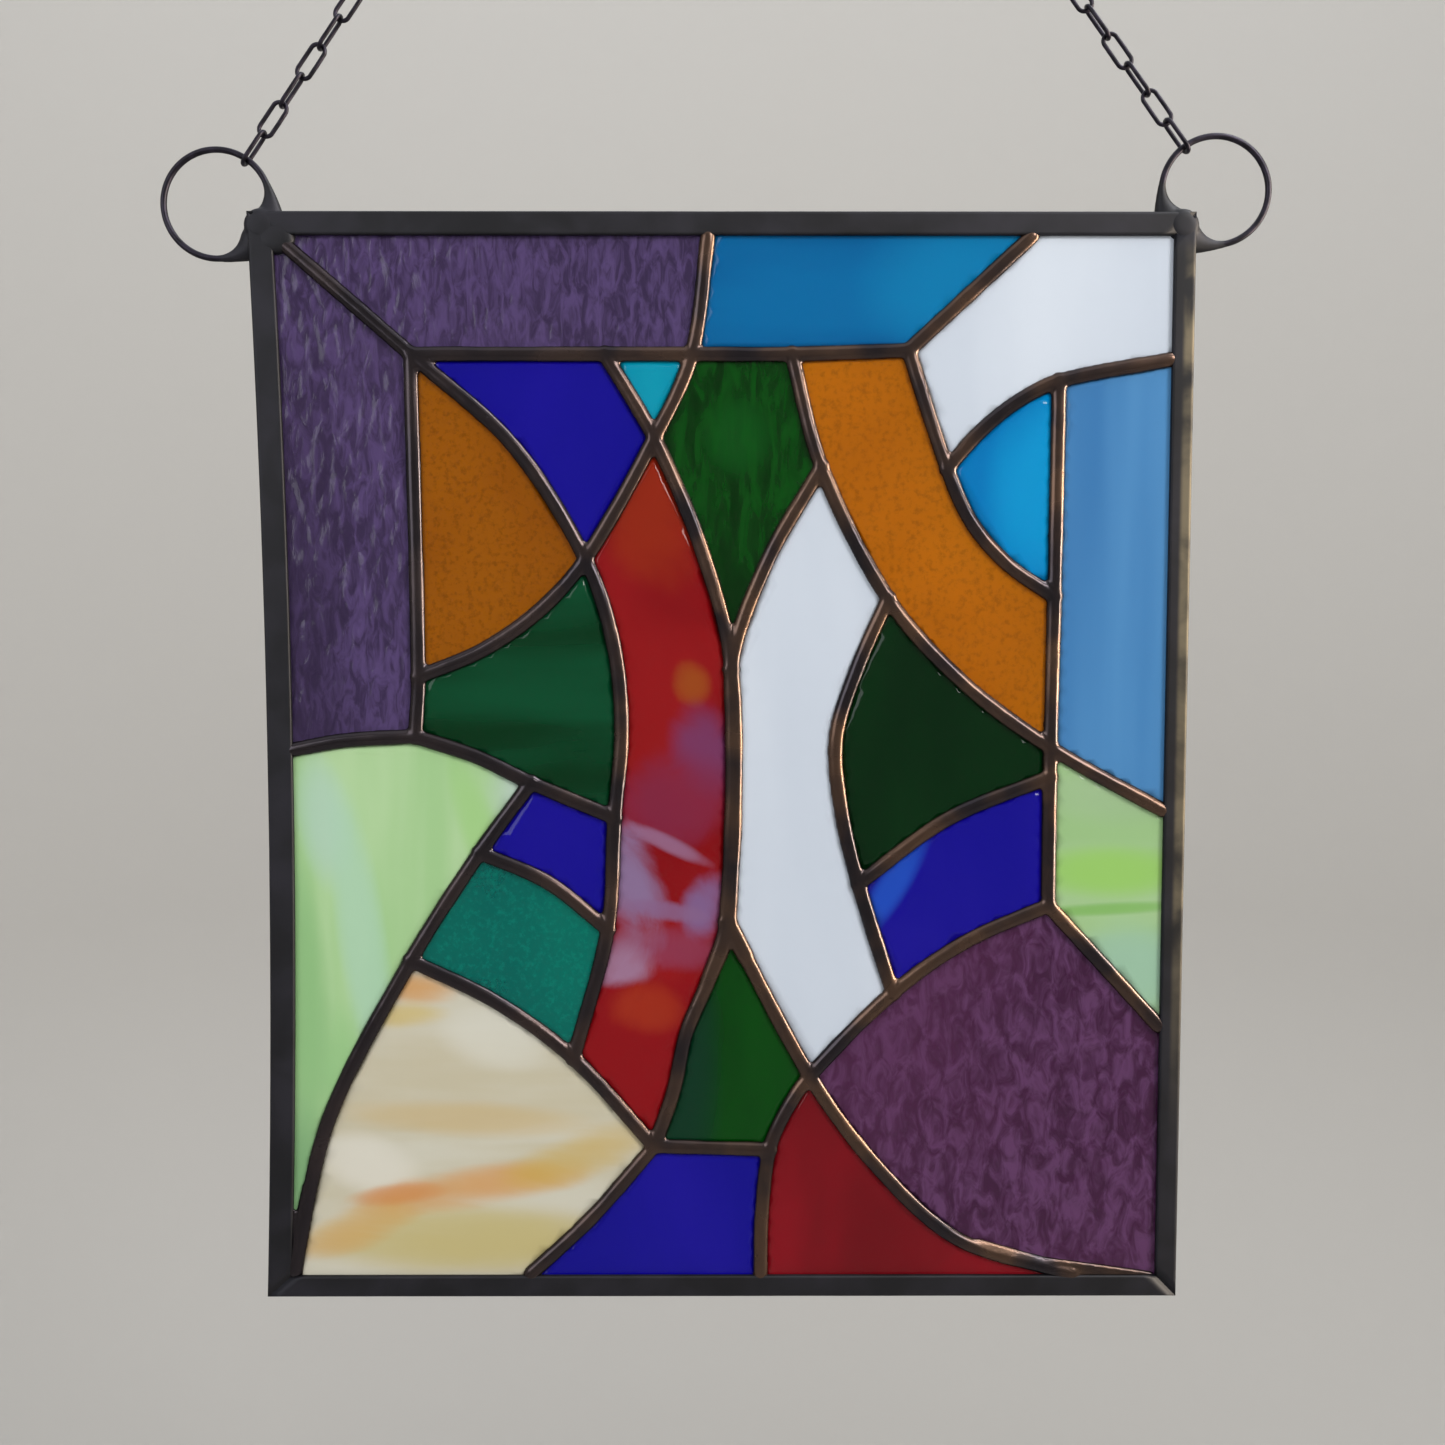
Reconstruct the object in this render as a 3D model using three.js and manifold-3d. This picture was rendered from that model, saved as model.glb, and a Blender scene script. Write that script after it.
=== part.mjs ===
// Stained glass window panel: coloured glass pieces held by soldered seams in a
// mitred metal came, with a wire ring on each upper corner and a chain to hang it by.
// Millimetres, +Z up. The front looks towards -Y. The origin is where the hook bears.
import * as THREE from "three";
import { mergeVertices } from "three/addons/utils/BufferGeometryUtils.js";
import Module from "manifold-3d";

const wasm = await Module();
wasm.setup();

// Driving dimensions
const PANEL_W = 250;
const PANEL_H = 293;
const GLASS_T = 3; // thickness of the glass
const FIT = 0.3; // clearance between pieces that touch

// Came: a U-shaped metal channel round the edge
const CAME_WALL = 1.2; // outer wall
const CAME_LIP = 1.3; // thickness of each lip that covers the glass
const CAME_CROWN = 0.4; // rounding of the lips' edges
const CAME_FACE = { top: 6.2, bottom: 5.9, left: 6.8, right: 5.8 };
const LEFT_BOW = 2.8; // how far the left came is pressed in at its middle
const BOW_STEPS = 8;

// Soldered seams
const BEAD_W = 4.3; // width of the solder bead over the glass edges
const BEAD_RISE = 1.4; // height of the front bead above its foot
const BACK_RISE = 1.2; // the back bead is a plain low ridge
const HEART_W = 1; // solder between the glass edges
const BEND_STEP = 12; // degrees of turn allowed in one facet of a curve
const WEDGE_T = 5; // solder that fills the sharp corners
const WEDGE_LEFT = 0.16; // share of the last stretch of seam that is filled
const WEDGE_RIGHT = 0.24;

// Rings on the upper corners
const RING_R = 14.3; // to the middle of the wire
const RING_WIRE = 1.7;
const RING_STEPS = 18;
const RING_LEFT = { x: -8.3, y: 2.3 }; // centre, measured outwards and up from the corner
const RING_RIGHT = { x: 5.4, y: 6 };
const FOOT_R = 2.7; // lump of solder at each end of the ring
const FOOT_H = 4.6;

// Chain of oval links
const LINK_WIRE = 1.35;
const LINK_INNER = 8.7; // clear length inside a link
const LINK_W = 5.3;
const LINK_BITE = 0.16; // how far soldered links sink into each other where they touch
const LINKS_A_SIDE = 23; // an odd number, so both end links stand edge-on

// Colours and surfaces
const paint = (color, roughness, metalness) =>
  new THREE.MeshStandardMaterial({ color, roughness, metalness });
const SOLDER = paint(0x3a3032, 0.35, 0.9);
const CAME = paint(0x2c2b31, 0.5, 0.7);
const WIRE = paint(0x241f2b, 0.4, 0.8);
const glassOf = (color) => paint(color, 0.1, 0);

// Solids and booleans
function solid(geometry) {
  const bare = geometry.clone();
  bare.deleteAttribute("normal");
  bare.deleteAttribute("uv");
  const merged = mergeVertices(bare, 1e-4);
  return new wasm.Manifold(
    new wasm.Mesh({
      numProp: 3,
      vertProperties: merged.attributes.position.array,
      triVerts: new Uint32Array(merged.index.array),
    }),
  );
}

function meshOf(body, name, material) {
  const made = body.getMesh();
  const geometry = new THREE.BufferGeometry();
  geometry.setAttribute("position", new THREE.BufferAttribute(made.vertProperties, 3));
  geometry.setIndex(new THREE.BufferAttribute(made.triVerts, 1));
  geometry.computeVertexNormals();
  const mesh = new THREE.Mesh(geometry, material);
  mesh.name = name;
  return mesh;
}

const joined = (bodies) => bodies.reduce((all, body) => all.add(body));
const shapeOf = (points) => new THREE.Shape(points.map(([x, y]) => new THREE.Vector2(x, y)));

// A flat plate of the given outline, centred on the middle of the glass.
function plate(points, thickness) {
  const geometry = new THREE.ExtrudeGeometry(shapeOf(points), {
    depth: thickness,
    bevelEnabled: false,
  });
  return geometry.translate(0, 0, -thickness / 2);
}

// A path through given points that keeps every point as a corner of the sweep.
class Track extends THREE.Curve {
  constructor(points) {
    super();
    this.points = points;
  }
  getPoint(t, target = new THREE.Vector3()) {
    const place = THREE.MathUtils.clamp(t, 0, 1) * (this.points.length - 1);
    const i = Math.min(Math.floor(place), this.points.length - 2);
    return target.lerpVectors(this.points[i], this.points[i + 1], place - i);
  }
  getPointAt(t, target) {
    return this.getPoint(t, target);
  }
  getTangentAt(t, target) {
    return this.getTangent(t, target);
  }
}

// A section of [height, width] points swept along a path on the bench.
function sweep(section, points) {
  // a section's height is turned round, so that it points to the front on a path across the bench
  const upright = section.map(([height, across]) => [-height, across]);
  return new THREE.ExtrudeGeometry(shapeOf(upright), {
    steps: points.length - 1,
    bevelEnabled: false,
    extrudePath: new Track(points),
  });
}

// The pattern: the panel lies on a bench, X to the right, Y up the panel, Z to the
// front, from the panel's middle. Seams meet at joints on a shelf line near the top,
// on two upright posts and along the free curves between them.
const SHELF = 109.5;
const LEFT_POST = -82.5;
const RIGHT_POST = 88.5;
const EDGE = FIT + CAME_WALL; // the glass ends this far inside the panel's edge
const LEFT = EDGE - PANEL_W / 2;
const RIGHT = PANEL_W / 2 - EDGE;
const TOP = PANEL_H / 2 - EDGE;
const FOOT = EDGE - PANEL_H / 2;

const JOINTS = {
  topLeft: [LEFT, TOP],
  topPurple: [-3, TOP],
  topWhite: [87, TOP],
  topRight: [RIGHT, TOP],
  rightWhite: [RIGHT, 109],
  rightBlue: [RIGHT, -14.5],
  rightGreen: [RIGHT, -76],
  footRight: [RIGHT, FOOT],
  footRed: [10.5, FOOT],
  footBlue: [-57.5, FOOT],
  footCream: [-119, FOOT],
  footLeft: [LEFT, FOOT],
  leftPurple: [LEFT + LEFT_BOW, 3.5],

  shelfPost: [LEFT_POST, SHELF],
  shelfTurquoise: [-31, SHELF],
  shelfGreen: [-8, SHELF],
  shelfAmber: [18.5, SHELF],
  shelfWhite: [49.5, SHELF + 1],

  postSweep: [LEFT_POST + 1, 24],
  postFoot: [LEFT_POST, 8],
  redCrossing: [-36.5, 55.5],
  greenTip: [-18, 87.5],
  centreTop: [2.5, 26],
  centreFoot: [1.5, -42.5],
  lowCrossing: [24, -85],
  creamTip: [-18.5, -104.5],
  shortShelf: [13, -105.5],
  creamTop: [-40.5, -80],

  whiteTip: [26.5, 80],
  greenShoulder: [44.5, 45],
  greenHeel: [37, -32],
  whiteHeel: [46.5, -62],

  amberBend: [60, 79.5],
  skyTop: [RIGHT_POST + 1, 102.5],
  skyFoot: [RIGHT_POST + 0.5, 45.5],
  postCrossing: [RIGHT_POST, 5],
  cobaltCorner: [RIGHT_POST, -3],
  plumTop: [RIGHT_POST, -38],

  cobaltTip: [-51.5, -4.5],
  cobaltRight: [-29, -14],
  tealTip: [-65.5, -23.5],
  tealRight: [-31, -44.5],
  creamShoulder: [-84.5, -53],
};

// The pattern was drawn on paper for this size. It stretches with the panel, and a joint
// on the glass's edge stays on the edge.
const PAPER = { w: 250, h: 293 };
for (const joint of Object.values(JOINTS)) {
  if (![LEFT, LEFT + LEFT_BOW, RIGHT].includes(joint[0])) joint[0] *= PANEL_W / PAPER.w;
  if (![TOP, FOOT].includes(joint[1])) joint[1] *= PANEL_H / PAPER.h;
}

// Each seam line passes through joints. A number between two joints bows that
// stretch to the left of the way it runs, as a share of the stretch's length.
const SEAMS = [
  ["topLeft", "shelfPost", 0.07, "redCrossing", 0.08, "cobaltRight", "tealRight", "creamTop"],
  ["shelfPost", "shelfTurquoise", "shelfGreen", "shelfAmber", "shelfWhite"],
  ["shelfPost", "postSweep", "postFoot"],
  ["topPurple", "shelfGreen", "greenTip", 0.04, "redCrossing", 0.09, "postSweep"],
  ["shelfTurquoise", "greenTip", 0.04, "centreTop", "centreFoot", -0.02, "creamTip", "footBlue"],
  ["shelfAmber", "whiteTip", "greenShoulder", -0.05, "postCrossing", "rightBlue"],
  ["whiteTip", -0.05, "centreTop"],
  ["centreFoot", "lowCrossing", -0.155, "footRight"],
  ["greenShoulder", -0.13, "greenHeel", "whiteHeel"],
  ["shelfWhite", "amberBend", -0.11, "skyFoot"],
  ["shelfWhite", 0.03, "topWhite"],
  ["amberBend", 0.075, "skyTop", "rightWhite"],
  ["skyTop", "skyFoot", "postCrossing", "cobaltCorner", "plumTop"],
  ["greenHeel", 0.06, "cobaltCorner"],
  ["plumTop", -0.05, "whiteHeel", "lowCrossing", "shortShelf", "footRed"],
  ["plumTop", 0.03, "rightGreen"],
  ["creamTip", "shortShelf"],
  ["leftPurple", "postFoot", "cobaltTip", "cobaltRight"],
  ["cobaltTip", "tealTip", -0.03, "creamShoulder", -0.062, "footCream"],
  ["tealTip", 0.065, "tealRight"],
  ["creamShoulder", 0.045, "creamTop", "creamTip"],
];

const at = (name) => new THREE.Vector3(...JOINTS[name], 0);

// The point that bows a stretch between two joints.
function bowPoint(from, to, bow) {
  const along = to.clone().sub(from);
  const side = new THREE.Vector3(-along.y, along.x, 0).multiplyScalar(bow);
  return from.clone().addScaledVector(along, 0.5).add(side);
}

// Turns a seam into stretches from joint to joint, each a list of points.
function layOut(seam) {
  const knots = seam.map((item, i) =>
    typeof item === "number" ? bowPoint(at(seam[i - 1]), at(seam[i + 1]), item) : at(item),
  );
  const curve = new THREE.CatmullRomCurve3(knots, false, "centripetal");
  const stretches = [];
  const stops = seam.map((item, i) => i).filter((i) => typeof seam[i] === "string");
  stops.slice(1).forEach((stop, n) => {
    const [t0, t1] = [stops[n], stop].map((i) => i / (seam.length - 1));
    let turn = 0;
    const fine = 12;
    for (let k = 0; k < fine; k++) {
      const tangents = [k, k + 1].map((m) => curve.getTangent(t0 + ((t1 - t0) * m) / fine));
      turn += THREE.MathUtils.radToDeg(tangents[0].angleTo(tangents[1]));
    }
    const steps = Math.max(1, Math.round(turn / BEND_STEP));
    const points = [];
    for (let k = 0; k <= steps; k++) points.push(curve.getPoint(t0 + ((t1 - t0) * k) / steps));
    stretches.push({ from: seam[stops[n]], to: seam[stop], points });
  });
  return stretches;
}

const LAID = SEAMS.map(layOut);
const STRETCHES = LAID.flat();
const fullLine = (stretches) =>
  stretches.flatMap((stretch, i) => (i ? stretch.points.slice(1) : stretch.points));

// Points from one joint to the next, along a seam or straight along the came.
function edge(from, to) {
  for (const stretch of STRETCHES) {
    if (stretch.from === from && stretch.to === to) return stretch.points;
    if (stretch.from === to && stretch.to === from) return [...stretch.points].reverse();
  }
  return [at(from), at(to)];
}

// Glass: each piece by the joints round it
const GLASS = [
  ["glass_purple_top", 0x503f68, "topLeft shelfPost shelfTurquoise shelfGreen topPurple"],
  ["glass_purple_left", 0x4a3962, "topLeft leftPurple postFoot postSweep shelfPost"],
  ["glass_cerulean_top", 0x0070b0, "topPurple shelfGreen shelfAmber shelfWhite topWhite"],
  ["glass_white_top", 0xd2d8e2, "topWhite shelfWhite amberBend skyTop rightWhite topRight"],
  ["glass_pale_blue_right", 0x5586b6, "rightWhite skyTop skyFoot postCrossing rightBlue"],
  ["glass_sky_quarter", 0x0086c4, "skyTop amberBend skyFoot"],
  ["glass_amber_left", 0xa06000, "shelfPost postSweep redCrossing"],
  ["glass_cobalt_top", 0x160c8c, "shelfTurquoise shelfPost redCrossing greenTip"],
  ["glass_turquoise_tip", 0x0090ad, "shelfTurquoise greenTip shelfGreen"],
  ["glass_green_top", 0x054c10, "shelfAmber shelfGreen greenTip centreTop whiteTip"],
  [
    "glass_amber_right",
    0xb07000,
    "shelfWhite shelfAmber whiteTip greenShoulder postCrossing skyFoot amberBend",
  ],
  ["glass_green_left", 0x06452a, "redCrossing postSweep postFoot cobaltTip cobaltRight"],
  [
    "glass_red_band",
    0x8c1016,
    "greenTip redCrossing cobaltRight tealRight creamTop creamTip centreFoot centreTop",
  ],
  [
    "glass_white_band",
    0xd2d8e0,
    "whiteTip centreTop centreFoot lowCrossing whiteHeel greenHeel greenShoulder",
  ],
  ["glass_green_right", 0x04300f, "greenShoulder greenHeel cobaltCorner postCrossing"],
  [
    "glass_pale_green_left",
    0xa2c48e,
    "postFoot leftPurple footLeft footCream creamShoulder tealTip cobaltTip",
  ],
  ["glass_cobalt_left", 0x140a88, "cobaltRight cobaltTip tealTip tealRight"],
  ["glass_teal", 0x007a64, "tealRight tealTip creamShoulder creamTop"],
  ["glass_cobalt_right", 0x160c90, "cobaltCorner greenHeel whiteHeel plumTop"],
  ["glass_pale_green_right", 0x98b880, "rightBlue postCrossing cobaltCorner plumTop rightGreen"],
  ["glass_plum", 0x4c2850, "rightGreen plumTop whiteHeel lowCrossing footRight"],
  ["glass_cream", 0xc8be9c, "creamTop creamShoulder footCream footBlue creamTip"],
  ["glass_cobalt_foot", 0x1c1290, "shortShelf creamTip footBlue footRed"],
  ["glass_green_foot", 0x063c18, "lowCrossing centreFoot creamTip shortShelf"],
  ["glass_red_foot", 0x780f18, "footRight lowCrossing shortShelf footRed"],
];

// Outlines reach past the glass edge, and the blank pane trims them.
const OVER = 8;
const pushOut = ([x, y]) => [
  x <= LEFT + LEFT_BOW ? x - OVER : x >= RIGHT ? x + OVER : x,
  y >= TOP ? y + OVER : y <= FOOT ? y - OVER : y,
];
const atRim = ([x, y]) => x <= LEFT + LEFT_BOW || x >= RIGHT || y >= TOP || y <= FOOT;
const alongRim = (from, to) => atRim(JOINTS[from]) && atRim(JOINTS[to]);

function outlineOf(names) {
  const ring = names.split(" ");
  return ring.flatMap((name, i) => {
    const before = ring.at(i - 1);
    const after = ring[(i + 1) % ring.length];
    const here = JOINTS[name];
    const stretch = edge(name, after).slice(1, -1);
    const onward = stretch.map((point) => [point.x, point.y]);
    if (!atRim(here)) return [here, ...onward];
    if (!alongRim(name, after)) return [pushOut(here), here, ...onward];
    return alongRim(before, name) ? [pushOut(here)] : [here, pushOut(here)];
  });
}

// The gap that is cut between two pieces of glass
const KERF = HEART_W + 2 * FIT;
const kerfSection = [
  [-GLASS_T, -KERF / 2],
  [GLASS_T, -KERF / 2],
  [GLASS_T, KERF / 2],
  [-GLASS_T, KERF / 2],
];

// Seams run on past the glass edge, so that the cuts go right through it.
function runOn(points) {
  const past = 4;
  const start = points[0].clone().sub(points[1]).setLength(past).add(points[0]);
  const last = points.length - 1;
  const end = points[last].clone().sub(points[last - 1]).setLength(past).add(points[last]);
  const onEdge = (point) => atRim([point.x, point.y]);
  return [
    onEdge(points[0]) ? start : points[0],
    ...points.slice(1, -1),
    onEdge(points[last]) ? end : points[last],
  ];
}

// The bow of the left came: how far a height on the panel is pressed in.
const bowAt = (y) => LEFT_BOW * (1 - (y / (PANEL_H / 2)) ** 2);

// The opening that the came leaves, smaller by a margin all round.
function opening(left, margin) {
  const [x1, y1] = [PANEL_W / 2 - CAME_FACE.right, PANEL_H / 2 - CAME_FACE.top];
  const y0 = CAME_FACE.bottom - PANEL_H / 2;
  const corners = [
    [x1 - margin, y0 + margin],
    [x1 - margin, y1 - margin],
  ];
  for (let i = 0; i <= BOW_STEPS; i++) {
    const y = THREE.MathUtils.lerp(y1 - margin, y0 + margin, i / BOW_STEPS);
    corners.push([left + bowAt(y) + margin - PANEL_W / 2, y]);
  }
  return corners;
}

// The blank pane, which runs into the channel of the came
function blank() {
  const points = [
    [RIGHT, FOOT],
    [RIGHT, TOP],
  ];
  for (let i = 0; i <= BOW_STEPS; i++) {
    const y = THREE.MathUtils.lerp(TOP, FOOT, i / BOW_STEPS);
    points.push([LEFT + bowAt(y), y]);
  }
  return solid(plate(points, GLASS_T));
}

// Solder that fills the sharp corner where a seam runs into the came: from a point
// on the seam to its end, along the glass edge and straight back across. It grows
// away from the corner to cut the glass a little shorter.
function wedge([from, to, rimCorner, share], thickness, growth) {
  const start = new Track(edge(from, to)).getPoint(1 - share);
  const corner = JOINTS[rimCorner];
  const across = rimCorner === "footLeft" ? [LEFT, start.y] : [start.x, FOOT];
  const points = [[start.x, start.y], JOINTS[to], corner, across].filter(
    (point, i) => i === 1 || point !== JOINTS[to],
  );
  const grown = points.map(([x, y]) => [
    corner[0] + (x - corner[0]) * growth,
    corner[1] + (y - corner[1]) * growth,
  ]);
  return solid(plate(grown, thickness));
}

const WEDGES = [
  ["creamShoulder", "footCream", "footLeft", WEDGE_LEFT],
  ["lowCrossing", "footRight", "footRight", WEDGE_RIGHT],
];

const CUTS = joined([
  ...LAID.map((line) => solid(sweep(kerfSection, runOn(fullLine(line))))),
  ...WEDGES.map((place) => wedge(place, 2 * GLASS_T, 1.03)),
]);

function glass([name, color, names], pane) {
  const piece = solid(plate(outlineOf(names), GLASS_T + 1));
  return meshOf(piece.intersect(pane).subtract(CUTS), name, glassOf(color));
}

// Seam section: crowned bead in front, low ridge behind, heart between them
const FOOT_Z = GLASS_T / 2 + FIT;
const half = BEAD_W / 2;
const seamSection = [
  [FOOT_Z, -half],
  [FOOT_Z + 0.62 * BEAD_RISE, -0.7 * half],
  [FOOT_Z + BEAD_RISE, 0],
  [FOOT_Z + 0.62 * BEAD_RISE, 0.7 * half],
  [FOOT_Z, half],
  [FOOT_Z, HEART_W / 2],
  [-FOOT_Z, HEART_W / 2],
  [-FOOT_Z, half],
  [-FOOT_Z - BACK_RISE, 0],
  [-FOOT_Z, -half],
  [-FOOT_Z, -HEART_W / 2],
  [FOOT_Z, -HEART_W / 2],
];

function seams() {
  const lines = LAID.map((line) => solid(sweep(seamSection, runOn(fullLine(line)))));
  const fills = WEDGES.map((place) => wedge(place, WEDGE_T, 1));
  const sight = solid(plate(opening(CAME_FACE.left, FIT), 4 * GLASS_T));
  return meshOf(joined([...lines, ...fills]).intersect(sight), "solder_seams", SOLDER);
}

// Came rails: a U-shaped section with mitred ends
function railSection(face) {
  const depth = GLASS_T / 2 + FIT + CAME_LIP;
  const inside = GLASS_T / 2 + FIT;
  return [
    [0, CAME_CROWN - depth],
    [CAME_CROWN, -depth],
    [face - 2 * CAME_CROWN, -depth],
    [face, 1.2 * CAME_CROWN - depth],
    [face, -inside],
    [CAME_WALL, -inside],
    [CAME_WALL, inside],
    [face, inside],
    [face, depth - 1.2 * CAME_CROWN],
    [face - 2 * CAME_CROWN, depth],
    [CAME_CROWN, depth],
    [0, depth - CAME_CROWN],
  ];
}

// A rail lies along X with its outer edge down, and each end is mitred to its
// neighbour's width.
function rail(name, length, face, startFace, endFace, bow) {
  const geometry = new THREE.ExtrudeGeometry(shapeOf(railSection(face)), {
    depth: 1,
    steps: bow ? BOW_STEPS : 1,
    bevelEnabled: false,
  });
  const place = geometry.attributes.position;
  for (let i = 0; i < place.count; i++) {
    const [inward, front, share] = [place.getX(i), place.getY(i), place.getZ(i)];
    const start = FIT / 2 + (inward * startFace) / face;
    const end = length - FIT / 2 - (inward * endFace) / face;
    const x = THREE.MathUtils.lerp(start, end, share) - length / 2;
    place.setXYZ(i, x, inward + bow * (1 - ((2 * x) / length) ** 2), front);
  }
  return meshOf(solid(geometry), name, CAME);
}

function frame() {
  const { top, bottom, left, right } = CAME_FACE;
  const foot = rail("came_bottom", PANEL_W, bottom, left, right, 0);
  foot.position.y = -PANEL_H / 2;
  const head = rail("came_top", PANEL_W, top, right, left, 0);
  head.position.y = PANEL_H / 2;
  head.rotation.z = Math.PI;
  const leftSide = rail("came_left", PANEL_H, left, top, bottom, LEFT_BOW);
  leftSide.position.x = -PANEL_W / 2;
  leftSide.rotation.z = -Math.PI / 2;
  const rightSide = rail("came_right", PANEL_H, right, bottom, top, 0);
  rightSide.position.x = PANEL_W / 2;
  rightSide.rotation.z = Math.PI / 2;
  return [foot, head, leftSide, rightSide];
}

// Rings: three quarters of a wire loop, soldered to both edges of a corner
function roundWire(diameter, sides) {
  const points = [];
  for (let i = 0; i < sides; i++) {
    const a = (2 * Math.PI * (i + 0.5)) / sides;
    points.push([(diameter / 2) * Math.cos(a), (diameter / 2) * Math.sin(a)]);
  }
  return points;
}

function solderFoot() {
  const profile = [
    [0, 0],
    [FOOT_R, 0],
    [0.86 * FOOT_R, 0.2 * FOOT_H],
    [0.5 * FOOT_R, 0.5 * FOOT_H],
    [0.36 * FOOT_R, FOOT_H],
    [0, FOOT_H],
  ].map(([r, h]) => new THREE.Vector2(r, h));
  return new THREE.LatheGeometry(profile, 8);
}

// side is -1 on the left corner and 1 on the right one.
function ring(name, side, place) {
  const corner = new THREE.Vector2((side * PANEL_W) / 2, PANEL_H / 2);
  const centre = new THREE.Vector2(corner.x + place.x, corner.y + place.y);
  const reach = (offset) => Math.sqrt(RING_R ** 2 - offset ** 2);
  const onTop = new THREE.Vector2(centre.x - side * reach(place.y), corner.y);
  const onSide = new THREE.Vector2(corner.x, centre.y - reach(place.x));
  const angleTo = (point) => Math.atan2(point.y - centre.y, side * (point.x - centre.x));
  const start = angleTo(onSide);
  let end = angleTo(onTop);
  if (end < start) end += 2 * Math.PI;
  const loop = [];
  for (let i = 0; i <= RING_STEPS; i++) {
    const a = THREE.MathUtils.lerp(start, end, i / RING_STEPS);
    const x = centre.x + side * RING_R * Math.cos(a);
    loop.push(new THREE.Vector3(x, centre.y + RING_R * Math.sin(a), 0));
  }
  const topFoot = solderFoot().translate(onTop.x, corner.y + FIT, 0);
  const sideFoot = solderFoot().rotateZ((-side * Math.PI) / 2);
  sideFoot.translate(corner.x + side * FIT, onSide.y, 0);
  const wire = solid(sweep(roundWire(RING_WIRE, 8), loop));
  const body = joined([wire, solid(topFoot), solid(sideFoot)]);
  const outside = [
    [-PANEL_W / 2 - FIT, -PANEL_H],
    [PANEL_W / 2 + FIT, -PANEL_H],
    [PANEL_W / 2 + FIT, PANEL_H / 2 + FIT],
    [-PANEL_W / 2 - FIT, PANEL_H / 2 + FIT],
  ];
  return { centre, mesh: meshOf(body.subtract(solid(plate(outside, 20))), name, WIRE) };
}

// Chain: oval links, each turned a quarter from the last
const LINK_END = (LINK_INNER + LINK_WIRE) / 2; // middle of a link to the wire of its end
const LINK_SIDE = (LINK_W - LINK_WIRE) / 2;
const LINK_FLAT = 0.44 * LINK_WIRE; // half the thickness of the wire, squared off

function oval(grow) {
  const side = LINK_SIDE + grow;
  const end = LINK_END + grow;
  const straight = LINK_END - LINK_SIDE;
  return [
    [side, -straight],
    [side, straight],
    [side / 2, end],
    [-side / 2, end],
    [-side, straight],
    [-side, -straight],
    [-side / 2, -end],
    [side / 2, -end],
  ];
}

// A link lies along Y before it is turned and leant.
function placeLink(edgeOn, lean, place) {
  const shape = shapeOf(oval(LINK_FLAT));
  shape.holes.push(shapeOf(oval(-LINK_FLAT)));
  const geometry = new THREE.ExtrudeGeometry(shape, { depth: 2 * LINK_FLAT, bevelEnabled: false });
  geometry.translate(0, 0, -LINK_FLAT);
  if (edgeOn) geometry.rotateY(Math.PI / 2);
  return solid(geometry.rotateZ(lean).translate(place.x, place.y, 0));
}

// From the middle of a ring to the wire of the top end of its run of chain
const PITCH = 2 * (LINK_END - LINK_FLAT) + LINK_BITE;
const ON_RING = RING_R - RING_WIRE / 2 - FIT - LINK_FLAT; // wire of the lowest link
const RUN = ON_RING + 2 * LINK_END + (LINKS_A_SIDE - 1) * PITCH;
const HOLD = new THREE.Vector2(LINK_END - 2 * LINK_FLAT - FIT, -0.15); // in the top link

// The top link hangs where the two runs of chain meet.
function topLinkPlace(leftCentre, rightCentre) {
  const a = leftCentre.clone().add(new THREE.Vector2(HOLD.x, -HOLD.y));
  const b = rightCentre.clone().sub(HOLD);
  const between = b.clone().sub(a);
  const span = between.length() / 2;
  const rise = new THREE.Vector2(-between.y, between.x).setLength(Math.sqrt(RUN ** 2 - span ** 2));
  return a.add(b).divideScalar(2).add(rise);
}

function chainRun(name, side, ringCentre, top) {
  const held = new THREE.Vector2(top.x + side * HOLD.x, top.y + HOLD.y);
  const along = held.clone().sub(ringCentre).normalize();
  const lean = Math.atan2(-along.x, along.y);
  const links = [];
  for (let i = 0; i < LINKS_A_SIDE; i++) {
    const reach = ON_RING + LINK_END + i * PITCH;
    links.push(placeLink(i % 2 === 0, lean, ringCentre.clone().addScaledVector(along, reach)));
  }
  return meshOf(joined(links), name, WIRE);
}

const bench = new THREE.Group();
const pane = blank();
GLASS.forEach((piece) => bench.add(glass(piece, pane)));
const leftRing = ring("ring_left", -1, RING_LEFT);
const rightRing = ring("ring_right", 1, RING_RIGHT);
const top = topLinkPlace(leftRing.centre, rightRing.centre);
bench.add(seams(), ...frame(), leftRing.mesh, rightRing.mesh);
bench.add(chainRun("chain_left", -1, leftRing.centre, top));
bench.add(chainRun("chain_right", 1, rightRing.centre, top));
bench.add(meshOf(placeLink(false, Math.PI / 2, top), "top_link", WIRE));

// The panel stands up, with the place of the hook at the origin.
const panel = new THREE.Group();
bench.rotation.x = Math.PI / 2;
bench.position.set(-top.x, 0, -top.y - LINK_SIDE + LINK_FLAT);
panel.add(bench);
panel.name = "stained_glass_window";

export default panel;
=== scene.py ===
# %% [markdown]
# # A stained glass window panel
# The panel hangs by a chain. Its solids come in as the frame, at their real size and place,
# and each is dressed here with the surface that the real piece has: rolled glass, soft solder
# with a dark patina, soft metal came and wire. Sizes are in metres in the file and in
# millimetres where a maker would say them, so MM turns one into the other.

import math

import bmesh
import bpy
import numpy as np
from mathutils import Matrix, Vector, noise
from mathutils.geometry import delaunay_2d_cdt


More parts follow.
